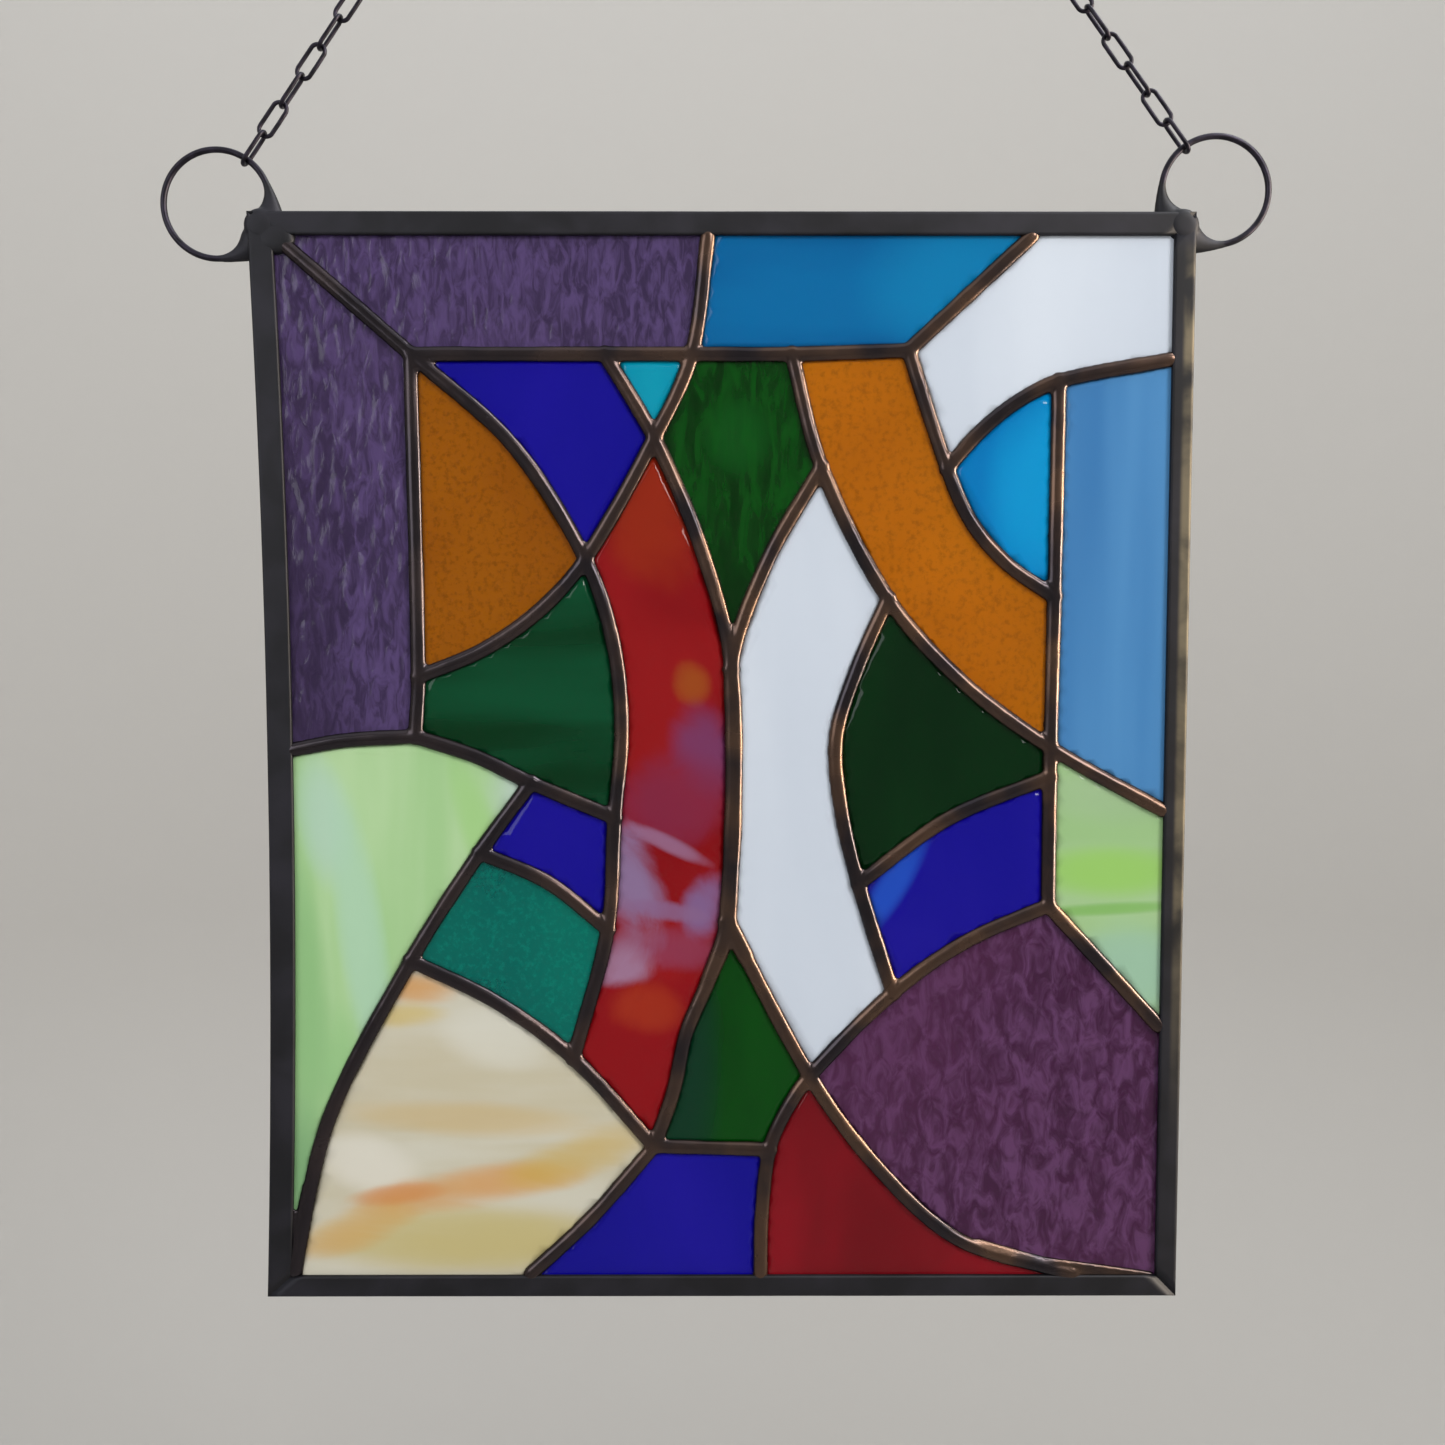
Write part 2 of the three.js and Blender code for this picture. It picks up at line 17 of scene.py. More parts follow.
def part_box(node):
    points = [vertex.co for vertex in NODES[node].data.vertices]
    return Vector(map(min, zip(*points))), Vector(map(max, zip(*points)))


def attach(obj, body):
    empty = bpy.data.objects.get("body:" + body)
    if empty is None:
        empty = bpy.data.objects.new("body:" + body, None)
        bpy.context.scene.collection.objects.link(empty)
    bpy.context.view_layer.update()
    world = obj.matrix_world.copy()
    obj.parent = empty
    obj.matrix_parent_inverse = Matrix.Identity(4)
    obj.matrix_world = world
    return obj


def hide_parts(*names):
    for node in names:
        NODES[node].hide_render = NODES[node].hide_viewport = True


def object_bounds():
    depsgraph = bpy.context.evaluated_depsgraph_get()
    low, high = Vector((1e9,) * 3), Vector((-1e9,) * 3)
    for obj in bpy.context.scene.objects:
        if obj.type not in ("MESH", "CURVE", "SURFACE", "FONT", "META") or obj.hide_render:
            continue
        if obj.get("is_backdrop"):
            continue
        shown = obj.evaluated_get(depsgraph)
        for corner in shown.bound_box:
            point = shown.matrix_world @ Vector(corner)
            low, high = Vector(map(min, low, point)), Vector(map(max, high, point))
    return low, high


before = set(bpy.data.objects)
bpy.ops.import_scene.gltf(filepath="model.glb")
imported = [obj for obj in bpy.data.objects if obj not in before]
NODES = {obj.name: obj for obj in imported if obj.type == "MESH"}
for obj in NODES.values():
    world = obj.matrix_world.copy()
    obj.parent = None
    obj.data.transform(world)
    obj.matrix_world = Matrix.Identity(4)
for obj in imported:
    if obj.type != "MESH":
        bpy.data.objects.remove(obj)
start_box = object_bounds()
MM = 0.001
GLASS_NODES = sorted(name for name in NODES if name.startswith("glass_"))
print(len(NODES), "solids,", len(GLASS_NODES), "of glass")

# %% [markdown]
# ## Reading sizes from the solids
# The frame's solids already know where everything is. The came's boxes give the panel's
# middle and the width of each lip, so no size is written twice.

# %% Sizes of the panel
came = {side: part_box("came_" + side) for side in ("top", "bottom", "left", "right")}
PANEL_LEFT, PANEL_RIGHT = came["left"][0].x, came["right"][1].x
PANEL_TOP, PANEL_FOOT = came["top"][1].z, came["bottom"][0].z
WIDTH, HEIGHT = PANEL_RIGHT - PANEL_LEFT, PANEL_TOP - PANEL_FOOT
MIDDLE = Vector(((PANEL_LEFT + PANEL_RIGHT) / 2, 0, (PANEL_TOP + PANEL_FOOT) / 2))
CAME_HALF = came["top"][1].y
GLASS_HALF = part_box("glass_plum")[1].y
BEAD_TOP = -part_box("solder_seams")[0].y
LEFT_BOW = 2.8 * MM
FACE = {
    "top": came["top"][1].z - came["top"][0].z,
    "bottom": came["bottom"][1].z - came["bottom"][0].z,
    "left": came["left"][1].x - came["left"][0].x - LEFT_BOW,
    "right": came["right"][1].x - came["right"][0].x,
}
print("panel", round(WIDTH, 4), "by", round(HEIGHT, 4), "came faces", FACE)


# %% [markdown]
# ## Small helpers for meshes
# A finished piece sits at the origin with its place in its mesh. `make` turns lists of points
# and faces into such an object, `lofted` closes a body through rings of points, and
# `finish_piece` hands a piece to the frame in place of a solid.


# %% Mesh helpers
def add_object(name, data):
    obj = bpy.data.objects.new(name, data)
    bpy.context.scene.collection.objects.link(obj)
    return obj


def make(name, points, faces, material=None):
    mesh = bpy.data.meshes.new(name)
    mesh.from_pydata([tuple(p) for p in points], [], [tuple(f) for f in faces])
    mesh.validate()
    if material:
        mesh.materials.append(material)
    return add_object(name, mesh)


def turn_faces_out(obj):
    bm = bmesh.new()
    bm.from_mesh(obj.data)
    bmesh.ops.remove_doubles(bm, verts=bm.verts, dist=1e-7)
    bmesh.ops.recalc_face_normals(bm, faces=bm.faces)
    bm.to_mesh(obj.data)
    bm.free()
    return obj


def settle(obj):
    """Makes what the modifiers show the piece's own plain mesh."""
    graph = bpy.context.evaluated_depsgraph_get()
    shown = bpy.data.meshes.new_from_object(obj.evaluated_get(graph))
    obj.modifiers.clear()
    old, obj.data = obj.data, shown
    bpy.data.meshes.remove(old)
    return obj


def melt(obj, voxel, rounds, share):
    """Melts overlapping bodies into one skin, as solder runs together, and thins its mesh."""
    skin = obj.modifiers.new("skin", "REMESH")
    skin.mode, skin.voxel_size = "VOXEL", voxel
    soften = obj.modifiers.new("soften", "SMOOTH")
    soften.factor, soften.iterations = 0.5, rounds
    obj.modifiers.new("thin", "DECIMATE").ratio = share
    return settle(obj)


def smooth(obj):
    obj.data.polygons.foreach_set("use_smooth", [True] * len(obj.data.polygons))
    return obj


def joined(first, *others):
    bm = bmesh.new()
    for obj in (first, *others):
        bm.from_mesh(obj.data)
    bm.to_mesh(first.data)
    bm.free()
    for obj in others:
        bpy.data.objects.remove(obj)
    return first


def lofted(name, points, around, material=None):
    """A closed body through rings of so many points each."""
    faces = [tuple(range(around)), tuple(range(len(points) - around, len(points)))]
    for a in range(0, len(points) - around, around):
        for k in range(around):
            on = (k + 1) % around
            faces.append((a + k, a + on, a + around + on, a + around + k))
    return turn_faces_out(make(name, points, faces, material))


def asides(line):
    """The direction across a line at each of its points, in the plane of the panel."""
    last = len(line) - 1
    for i in range(len(line)):
        way = (line[min(i + 1, last)] - line[max(i - 1, 0)]).normalized()
        yield Vector((way.z, 0, -way.x))


def finish_piece(obj, node):
    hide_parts(node)
    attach(obj, "root")
    print(obj.name, sum(len(p.vertices) - 2 for p in obj.data.polygons), "triangles")
    return obj


# %% [markdown]
# ## Shader helpers
# Node trees read better as sums. `Value` wraps one output socket, so that plus, minus and
# times on it add Math nodes. `Nodes` makes any other node in one call, for materials here and
# for Geometry Nodes further down.


# %% A small language for nodes
class Value:
    def __init__(self, nodes, socket):
        self.nodes, self.socket = nodes, socket

    def maths(self, operation, *others):
        return self.nodes.node("ShaderNodeMath", (self, *others), operation=operation)

    def __add__(self, other):
        return self.maths("ADD", other)

    def __sub__(self, other):
        return self.maths("SUBTRACT", other)

    def __mul__(self, other):
        return self.maths("MULTIPLY", other)

    def __rsub__(self, other):
        return self.nodes.node("ShaderNodeMath", (other, self), operation="SUBTRACT")

    __radd__, __rmul__ = __add__, __mul__

    def between(self, low, high):
        limits = (self, low, high, 0.0, 1.0)
        return self.nodes.node("ShaderNodeMapRange", limits, interpolation_type="SMOOTHSTEP")


class Nodes:
    """A node tree whose sockets take numbers, colours, sockets and Values alike."""

    def plug(self, socket, value):
        if isinstance(value, Value):
            value = value.socket
        if isinstance(value, bpy.types.NodeSocket):
            self.tree.links.new(value, socket)
        elif isinstance(value, (tuple, list)) and socket.type == "RGBA":
            socket.default_value = (*value[:3], 1)
        else:
            socket.default_value = value

    def node(self, kind, sockets, output=0, **settings):
        made = self.tree.nodes.new(kind)
        for key, value in settings.items():
            setattr(made, key, value)
        for key, value in sockets.items() if isinstance(sockets, dict) else enumerate(sockets):
            self.plug(made.inputs[key], value)
        return Value(self, made.outputs[output])

    def split(self, vector):
        node = self.tree.nodes.new("ShaderNodeSeparateXYZ")
        self.plug(node.inputs[0], vector)
        return [Value(self, out) for out in node.outputs]


# %% Materials as sums
class Shader(Nodes):
    def __init__(self, name):
        self.material = bpy.data.materials.new(name)
        self.material.use_nodes = True
        self.tree = self.material.node_tree
        self.surface = self.tree.nodes["Principled BSDF"]
        coords = self.tree.nodes.new("ShaderNodeTexCoord")
        self.place = coords.outputs["Object"]

    def cloud(self, scale, detail=3.0, stretch=(1, 1, 1), turn=(0, 0, 0), warp=0.0, rough=0.5):
        """Noise that changes `scale` times a metre, drawn out where `stretch` is below 1."""
        mapping = {"Vector": self.place, "Scale": stretch, "Rotation": turn}
        place = self.node("ShaderNodeMapping", mapping)
        sizes = {"Scale": scale, "Detail": detail, "Distortion": warp, "Roughness": rough}
        return self.node("ShaderNodeTexNoise", {"Vector": place, **sizes})

    def blend(self, share, first, second):
        return self.node("ShaderNodeMix", {0: share, 6: first, 7: second}, 2, data_type="RGBA")

    def map_of_panel(self):
        """How far right of and above the panel's middle a point is, in millimetres."""
        x, _, z = self.split(self.place)
        return [(x - MIDDLE.x) * (1 / MM), (z - MIDDLE.z) * (1 / MM)]

    def patch(self, cloud, x, z, wide, high, lean=0.0, ragged=0.6):
        """A soft patch, 1 in its middle and 0 outside, with a rim made ragged by a cloud."""
        right, up = self.map_of_panel()
        right, up = right - x, up - z
        along = (right * math.cos(lean) + up * math.sin(lean)) * (1 / wide)
        over = (up * math.cos(lean) - right * math.sin(lean)) * (1 / high)
        far = along * along + over * over + (cloud - 0.5) * (2 * ragged)
        return 1.0 - far.between(0.0, 1.5)

    def layers(self, base, cloud, patches):
        """Lays soft patches of other colours over a base colour."""
        for colour, strength, *shape in patches:
            base = self.blend(self.patch(cloud, *shape) * strength, base, srgb(colour))
        return base

    def set(self, **values):
        for key, value in values.items():
            self.plug(self.surface.inputs[key.replace("_", " ")], value)
        return self

    def bump(self, height, strength, distance):
        sizes = {"Height": height, "Strength": strength, "Distance": distance}
        return self.set(Normal=self.node("ShaderNodeBump", sizes))


def srgb(code):
    """A colour written as six hex digits, as a plain linear colour."""
    parts = [int(code[i : i + 2], 16) / 255 for i in (0, 2, 4)]
    return tuple(c / 12.92 if c < 0.04045 else ((c + 0.055) / 1.055) ** 2.4 for c in parts)


# %% [markdown]
# ## Soft solder, came and wire
# The solder was blackened with a patina. It came out a shiny dark gunmetal, and towards the
# right a copper brown is painted on it in patches, a painted glint of the light from the
# right. The came took the same patina darker and duller, and the rounded outer corner of its
# right side is painted a dull gold brown, a painted highlight of that light. The wire of rings
# and chain is almost black, with a purple cast.


# %% Metal materials
def make_solder():
    s = Shader("solder")
    patches = s.cloud(45.0, warp=0.4)
    right, _ = s.map_of_panel()
    # Painted glint: a copper brown in patches, stronger towards the right, for the light that
    # falls from the right.
    painted_copper_glint = patches.between(0.35, 0.65) * right.between(-80.0, 20.0)
    clear = patches.between(0.3, 0.7)
    dark = s.blend(clear, srgb("2b272b"), srgb("383031"))
    s.set(Base_Color=s.blend(painted_copper_glint * 0.45, dark, srgb("6c503a")), Metallic=0.85)
    s.set(Roughness=clear * 0.1 + 0.19)
    s.bump(s.cloud(240.0, 2.0), 0.2, 0.12 * MM)
    return s.material


def make_came():
    s = Shader("came")
    worn = s.cloud(60.0, 5.0, warp=0.4)
    along = s.cloud(300.0, 2.0, stretch=(0.3, 1, 0.3))
    right, up = s.map_of_panel()
    rim = 0.5 * WIDTH / MM
    # Painted highlight: a dull gold brown band along the rounded outer corner of the right came,
    # where the light from the right catches it, broken up by the patina's cloud.
    painted_edge_highlight = right.between(rim - 3.6, rim - 2.2) - right.between(rim + 0.1, rim + 0.5)
    painted_edge_highlight = painted_edge_highlight.maths("MAXIMUM", 0.0) * up.between(-110.0, -10.0)
    painted_edge_highlight = painted_edge_highlight * (1.0 - up.between(128.0, 140.0))
    base = s.blend(worn.between(0.35, 0.7), srgb("151519"), srgb("212027"))
    base = s.blend(painted_edge_highlight * worn.between(0.3, 0.6) * 0.8, base, srgb("6e6450"))
    s.set(Base_Color=base, Metallic=0.4, Roughness=worn * 0.2 + 0.42, Specular_IOR_Level=0.3)
    s.bump(along + worn * 0.5, 0.2, 0.12 * MM)
    return s.material


def make_wire():
    s = Shader("wire")
    worn = s.cloud(400.0, 3.0)
    base = s.blend(worn.between(0.35, 0.7), srgb("17141c"), srgb("27222e"))
    s.set(Base_Color=base, Metallic=0.75, Roughness=worn * 0.2 + 0.28)
    s.bump(worn, 0.2, 0.06 * MM)
    return s.material


SOLDER, CAME, WIRE = make_solder(), make_came(), make_wire()
print("metals:", SOLDER.name, CAME.name, WIRE.name)


# %% [markdown]
# ## Glass by the sheet
# A panel like this is cut from several sheets. Cathedral glass is one clear colour with a
# rolled ripple, wispy glass has streaks of white stirred into a colour, and opal glass is
# milky all through. Each recipe gives a sheet its colours, how much light goes through as a
# plain number, and the pattern that runs in it. The patterns are noise, made for this panel.


# %% Glass recipes
def glass_shader(name, through, rough=0.06):
    s = Shader(name)
    s.set(Transmission_Weight=through, Roughness=rough, IOR=1.32, Specular_IOR_Level=0.3)
    return s


def rippled(name, dark, light, through, scale, stretch, drift, patches=()):
    """Clear glass rolled to a fine ripple, which shows as short wavy strokes of light."""
    s = glass_shader(name, through, 0.08)
    strokes = s.cloud(scale, 3.0, stretch, warp=0.9, rough=0.6)
    broad = s.cloud(12.0, 2.0)
    base = s.blend(strokes.between(0.34, 0.68), srgb(dark), srgb(light))
    base = s.blend(broad.between(0.42, 0.7) * 0.35, base, srgb(drift))
    s.set(Base_Color=s.layers(base, strokes, patches))
    s.bump(strokes, 0.55, 0.25 * MM)
    return s


def grained(name, body, fleck, light, through=0.5):
    """Clear glass with a granite skin: an even field of fine flecks, light and dark."""
    s = glass_shader(name, through, 0.14)
    grain = s.cloud(560.0, 4.0, rough=0.7)
    drift = s.cloud(22.0, 3.0)
    base = s.blend(drift.between(0.3, 0.7), srgb(body), srgb(light))
    base = s.blend(grain.between(0.46, 0.7) * 0.42, base, srgb(fleck))
    s.set(Base_Color=base)
    s.bump(grain, 0.45, 0.18 * MM)
    return s


def streaky(name, shade, body, through, scale=40.0, stretch=(1, 1, 0.2), turn=0.0, patches=()):
    """Milky or streaky glass: two shades drawn out along one direction, and patches on it."""
    s = glass_shader(name, through, 0.1)
    streaks = s.cloud(scale, 3.0, stretch, (0, turn, 0), warp=0.3)
    base = s.blend(streaks.between(0.32, 0.68), srgb(shade), srgb(body))
    drawn = s.cloud(scale * 0.8, 5.0, tuple(c**0.6 for c in stretch), (0, turn, 0), warp=0.6)
    s.set(Base_Color=s.layers(base, drawn, patches))
    return s


def red_wispy(name):
    """Red glass with smoky lavender stirred into its middle, and clear red again below."""
    s = glass_shader(name, 0.3, 0.08)
    smoke = s.cloud(52.0, 5.0, stretch=(1, 1, 0.7), turn=(0, 0.5, 0), warp=1.0, rough=0.6)
    broad = s.cloud(26.0, 3.0, warp=0.5)
    base = s.blend(broad.between(0.35, 0.65), srgb("840a12"), srgb("941418"))
    base = s.layers(base, smoke, [
        ("9c3010", 0.65, -19, 68, 14, 20, 0.2, 0.8), ("a45c1c", 0.6, -8, 22, 5, 6, 0.3, 0.9),
        ("783c68", 0.9, -5, 5, 9, 12, 0.2, 1.1), ("842a48", 0.8, -13, -9, 15, 13, 0.0, 1.1),
        ("8e769e", 0.95, -25, -31, 8.5, 15, 0.35, 1.1),
        ("846898", 0.9, -5, -38, 6, 9, -0.3, 1.1),
        ("8c6890", 0.8, -15, -39.5, 12, 2.6, -0.15, 1.2),
        ("a07ca0", 0.65, -14, -21.5, 12, 2.2, -0.46, 0.8),
        ("946888", 0.7, -23, -48, 8, 5, 0.2, 1.2), ("a480a0", 0.9, -28, -55, 10, 7, 0.3, 1.1),
        ("904868", 0.55, -12, -50, 12, 6, 0.0, 1.1),
    ])
    right, up = s.map_of_panel()
    foot = 1.0 - (up + (smoke - 0.5) * 9.0 - right * 0.08).between(-59.5, -55.5)
    base = s.blend(foot, base, srgb("8e0e16"))
    s.set(Base_Color=s.layers(base, smoke, [("ac3a1c", 0.6, -20, -66, 10, 7, 0.0, 0.9)]))
    return s


# Patches: colour, strength, millimetres right and up, half width and height, lean, raggedness.
PALE_LEFT = [
    ("b4c6be", 0.95, -47, -8, 15, 17, 0.5, 0.35), ("a8c6b4", 0.8, -108, -14, 7, 18, 0.15, 0.7),
    ("a4c8ae", 0.75, -97, -52, 6, 48, 0.14, 0.8), ("98c47c", 0.75, -66, -17, 5, 24, 0.3, 0.7),
    ("84b278", 0.75, -114, -62, 7, 44, 0.1, 0.7), ("8cbc7e", 0.65, -102, -90, 6, 24, 0.05, 0.7),
    ("74a070", 0.85, -116, -118, 9, 28, 0.0, 0.5),
]
PALE_RIGHT = [
    ("90c060", 0.9, 106, -29, 24, 7, 0.0, 0.35),
    ("78ac58", 0.8, 106, -39, 24, 1.8, 0.05, 0.3),
    ("94b8a0", 0.9, 112, -56, 18, 14), ("98b48c", 0.6, 108, -8, 20, 8),
]
CREAM = [
    ("cccabe", 0.75, -62, -74, 16, 9, -0.2), ("d0ccc0", 0.85, -96, -110, 15, 8, -0.35),
    ("c8965c", 0.9, -85, -61, 13, 4.5, -0.1, 0.8), ("c4ac60", 0.7, -88, -68, 13, 4, 0.05, 0.8),
    ("c0a878", 0.6, -70, -97, 34, 5, -0.06, 0.8), ("b8aa70", 0.85, -70, -130, 42, 10, 0.0, 0.5),
    ("c88c40", 0.75, -67, -116, 34, 6, 0.15, 1.2), ("c4984e", 0.65, -99, -127, 18, 6, 0.35, 1.2),
    ("bfa04c", 0.7, -40, -108, 22, 7, 0.35, 1.1), ("c4844c", 0.75, -88, -118, 14, 3, 0.1, 1.1),
]
GREEN_TOP = [("012c06", 0.8, -4, 42, 14, 24, 0.0, 0.8), ("0a5618", 0.6, 4, 88, 9, 10, 0.0, 0.9)]
RECIPES = {
    "purple": (rippled, "3a2d4d", "594775", 0.3, 400.0, (1, 1, 0.34), "4a3a60",
               [("2c213a", 0.5, -112, 20, 14, 95)]),
    "plum": (rippled, "42203e", "643e66", 0.3, 270.0, (1, 1, 0.5), "5a2c50"),
    "cerulean": (streaky, "004f8a", "0466a0", 0.2, 40.0, (0.3, 1, 1), 0.1,
                 [("0c80b4", 0.7, 70, 128, 30, 22)]),
    "sky": (streaky, "0074b8", "007cc0", 0.2, 30.0, (1, 1, 0.2), 0.0,
            [("0c98d2", 0.8, 88, 74, 16, 24)]),
    "turquoise": (streaky, "008cac", "0898b4", 0.25),
    "white": (streaky, "bbc3cf", "c9d0da", 0.04, 20.0, (1, 1, 0.25)),
    "pale_blue": (streaky, "3a72a8", "5088ba", 0.1, 42.0, (1, 1, 0.06)),
    "amber": (grained, "985200", "5c3000", "a45e02"),
    "amber_light": (grained, "b86800", "743e00", "c47204"),
    "green": (rippled, "002c04", "054a0e", 0.25, 260.0, (1, 1, 0.25), "01340a", GREEN_TOP),
    "deep_green": (streaky, "00240a", "022c0e", 0.25, 40.0, (1, 1, 0.5)),
    "bottle_green": (streaky, "003014", "064a2c", 0.25, 55.0, (0.14, 1, 1)),
    "foot_green": (streaky, "003a08", "04460c", 0.25, 40.0, (1, 1, 0.3), 0.0,
                   [("083422", 0.95, -12, -80, 11, 40)]),
    "teal": (grained, "006a62", "009c86", "007a6c"),
    "red": (streaky, "700c16", "880f1c", 0.3, 30.0, (1, 1, 0.5)),
    "red_wispy": (red_wispy,),
    "cobalt": (streaky, "0c068c", "180c98", 0.25, 16.0, (1, 1, 0.6)),
    "cobalt_streak": (streaky, "100890", "1c1298", 0.25, 16.0, (1, 1, 0.6), 0.0,
                      [("2050c0", 0.9, 46, -33, 4, 17, -0.55, 0.5)]),
    "pale_green_left": (streaky, "9cc28a", "aecc9c", 0.1, 55.0, (1, 1, 0.12), 0.2, PALE_LEFT),
    "pale_green_right": (streaky, "94b880", "9ebe8c", 0.1, 60.0, (0.2, 1, 1), 0.0, PALE_RIGHT),
    "cream": (streaky, "bcb49c", "c4c0b0", 0.08, 75.0, (0.16, 1, 1), 0.15, CREAM),
}
SHEETS = {name: kind(name, *looks).material for name, (kind, *looks) in RECIPES.items()}
print(len(SHEETS), "sheets of glass")

# %% [markdown]
# ## Which sheet each piece is cut from, and its ripple
# The ripple is real relief on both faces: `fine` is the narrow upright ripple of the purple
# sheets, `coarse` the wide one of the plum sheet, `grain` the pebbled skin of teal and amber,
# and `calm` the faint wave of glass that was rolled flat.

# %% Cutting list
CUTTING_LIST = {
    "purple_top": ("purple", "fine"), "purple_left": ("purple", "fine"),
    "cerulean_top": ("cerulean", "calm"), "white_top": ("white", "calm"),
    "pale_blue_right": ("pale_blue", "calm"), "sky_quarter": ("sky", "calm"),
    "amber_left": ("amber", "grain"), "amber_right": ("amber_light", "grain"),
    "cobalt_top": ("cobalt", "calm"), "cobalt_left": ("cobalt", "calm"),
    "cobalt_right": ("cobalt_streak", "calm"), "cobalt_foot": ("cobalt", "calm"),
    "turquoise_tip": ("turquoise", "calm"), "green_top": ("green", "fine"),
    "green_left": ("bottle_green", "calm"), "green_right": ("deep_green", "calm"),
    "green_foot": ("foot_green", "calm"), "teal": ("teal", "grain"),
    "pale_green_left": ("pale_green_left", "calm"),
    "pale_green_right": ("pale_green_right", "calm"),
    "red_band": ("red_wispy", "calm"), "red_foot": ("red", "calm"),
    "white_band": ("white", "calm"), "plum": ("plum", "coarse"), "cream": ("cream", "calm"),
}
print(len(CUTTING_LIST), "pieces to cut")


def ripple(kind, x, z):
    """Height of the rolled relief at a place on the sheet, in metres."""
    if kind == "fine":
        bend = noise.noise((x * 90, 0, z * 35))
        wave = noise.noise((x * 520 + 2.2 * bend, 3, z * 150))
        return 0.26 * MM * wave + 0.06 * MM * noise.noise((x * 1100, 7, z * 500))
    if kind == "coarse":
        bend = noise.noise((x * 60, 0, z * 40))
        wave = noise.noise((x * 300 + 1.8 * bend, 3, z * 190))
        return 0.32 * MM * wave + 0.08 * MM * noise.noise((x * 700, 7, z * 600))
    if kind == "grain":
        return 0.07 * MM * noise.noise((x * 700, 1, z * 700))
    return 0.05 * MM * noise.noise((x * 45, 2, z * 30))


# %% [markdown]
# ## Glass pieces
# Each solid gives its outline. A Delaunay triangulation fills it with an even field of points,
# so that the face can carry the ripple, and the back face gets the same points. The cut edges
# stay exactly where the solid has them, hidden under the solder.


# %% Outline of a flat solid, as one loop
def pairs(loop):
    return zip(loop, loop[1:] + loop[:1])


def outline(node):
    mesh = NODES[node].data
    keys, points, corner = {}, [], []
    for v in mesh.vertices:
        key = (round(v.co.x * 1e5), round(v.co.z * 1e5))
        if key not in keys:
            keys[key] = len(points)
            points.append((v.co.x, v.co.z))
        corner.append(keys[key])
    used = {}  # a dictionary, because it keeps the order of its edges
    for p in mesh.polygons:
        if p.normal.y <= -0.9:
            loop = [corner[i] for i in p.vertices]
            used.update(dict.fromkeys(pairs(loop)))
    rim = {a: b for a, b in used if (b, a) not in used}
    ring = [next(iter(rim))]
    while rim[ring[-1]] != ring[0]:
        ring.append(rim[ring[-1]])
    return [points[i] for i in ring]


def area_of(ring):
    return 0.5 * sum(a[0] * b[1] - b[0] * a[1] for a, b in pairs(ring))


# %% A pane with relief on both faces
ROW = 0.866  # height of a triangle, as a share of its side
CLEAR = 0.6  # how far the inner points keep from the rim, in steps


def pane(name, step, kind):
    ring = outline(name)
    if area_of(ring) < 0:
        ring.reverse()
    rim = []
    for a, b in pairs(ring):
        a, b = Vector(a), Vector(b)
        parts = max(1, round((b - a).length / (1.6 * step)))
        rim += [a.lerp(b, k / parts) for k in range(parts)]
    foot, head = min(p.y for p in rim), max(p.y for p in rim)
    inner = []
    for row in range(int((head - foot) / (step * ROW)) + 1):
        z, shift = foot + row * step * ROW, 0.5 * (row % 2)
        if min(z - foot, head - z) <= 0.5 * step:
            continue
        cuts = []
        for a, b in pairs(rim):
            if (a.y <= z) != (b.y <= z):
                cuts.append(a.x + (z - a.y) / (b.y - a.y) * (b.x - a.x))
        cuts.sort()
        for left, right in zip(cuts[::2], cuts[1::2]):
            x = (math.ceil((left + CLEAR * step) / step - shift) + shift) * step
            while x < right - CLEAR * step:
                inner.append(Vector((x, z)))
                x += step
    edges = [(i, (i + 1) % len(rim)) for i in range(len(rim))]
    flat, _, faces, *_ = delaunay_2d_cdt(rim + inner, edges, [], 1, 1e-7)
    n = len(flat)
    heights = [ripple(kind, p.x, p.y) for p in flat]
    top = max(heights)
    front = [(p.x, -GLASS_HALF + top - h, p.y) for p, h in zip(flat, heights)]
    back = [(p.x, GLASS_HALF - 0.5 * (top - h), p.y) for p, h in zip(flat, heights)]
    body = [tuple(f) for f in faces] + [tuple(n + i for i in reversed(f)) for f in faces]
    used = {}
    for f in faces:
        used.update(dict.fromkeys(pairs(f)))
    body += [(b, a, n + a, n + b) for a, b in used if (b, a) not in used]
    return make("pane_" + name[6:], front + back, body)


STEP = {"fine": 0.9 * MM, "coarse": 1.2 * MM, "grain": 1.0 * MM, "calm": 3.0 * MM}
for name in GLASS_NODES:
    short = name.removeprefix("glass_")
    sheet, kind = CUTTING_LIST[short]
    piece = smooth(turn_faces_out(pane(name, STEP[kind], kind)))
    piece.data.materials.append(SHEETS[sheet])
    piece.modifiers.new("edges", "WEIGHTED_NORMAL")
    finish_piece(settle(piece), name)


# %% [markdown]
# ## Where the seams run
# On the real panel every glass edge was wrapped in copper foil, and solder was run along the
# foils. The solder solid has a crown line along each seam. Its edges are picked out by their
# height and chained into lines from joint to joint, so that the beads follow the frame.


# %% Crown lines of the seams
CROWN_DEPTH = 0.02 * MM  # points this near the top belong to a crown
SAME_PLACE = 0.5 * MM  # points this near one another are one joint


def crown_graph():
    mesh = NODES["solder_seams"].data
    points, corner = [], []
    for v in mesh.vertices:
        if v.co.y > -BEAD_TOP + CROWN_DEPTH:
            corner.append(None)
            continue
        near = (i for i, p in enumerate(points) if (p - v.co).length < SAME_PLACE)
        found = next(near, None)
        if found is None:
            found = len(points)
            points.append(v.co.copy())
        corner.append(found)
    links = {i: set() for i in range(len(points))}
    for e in mesh.edges:
        a, b = (corner[i] for i in e.vertices)
        if a is not None and b is not None and a != b:
            links[a].add(b)
            links[b].add(a)
    return [Vector((p.x, 0, p.z)) for p in points], links


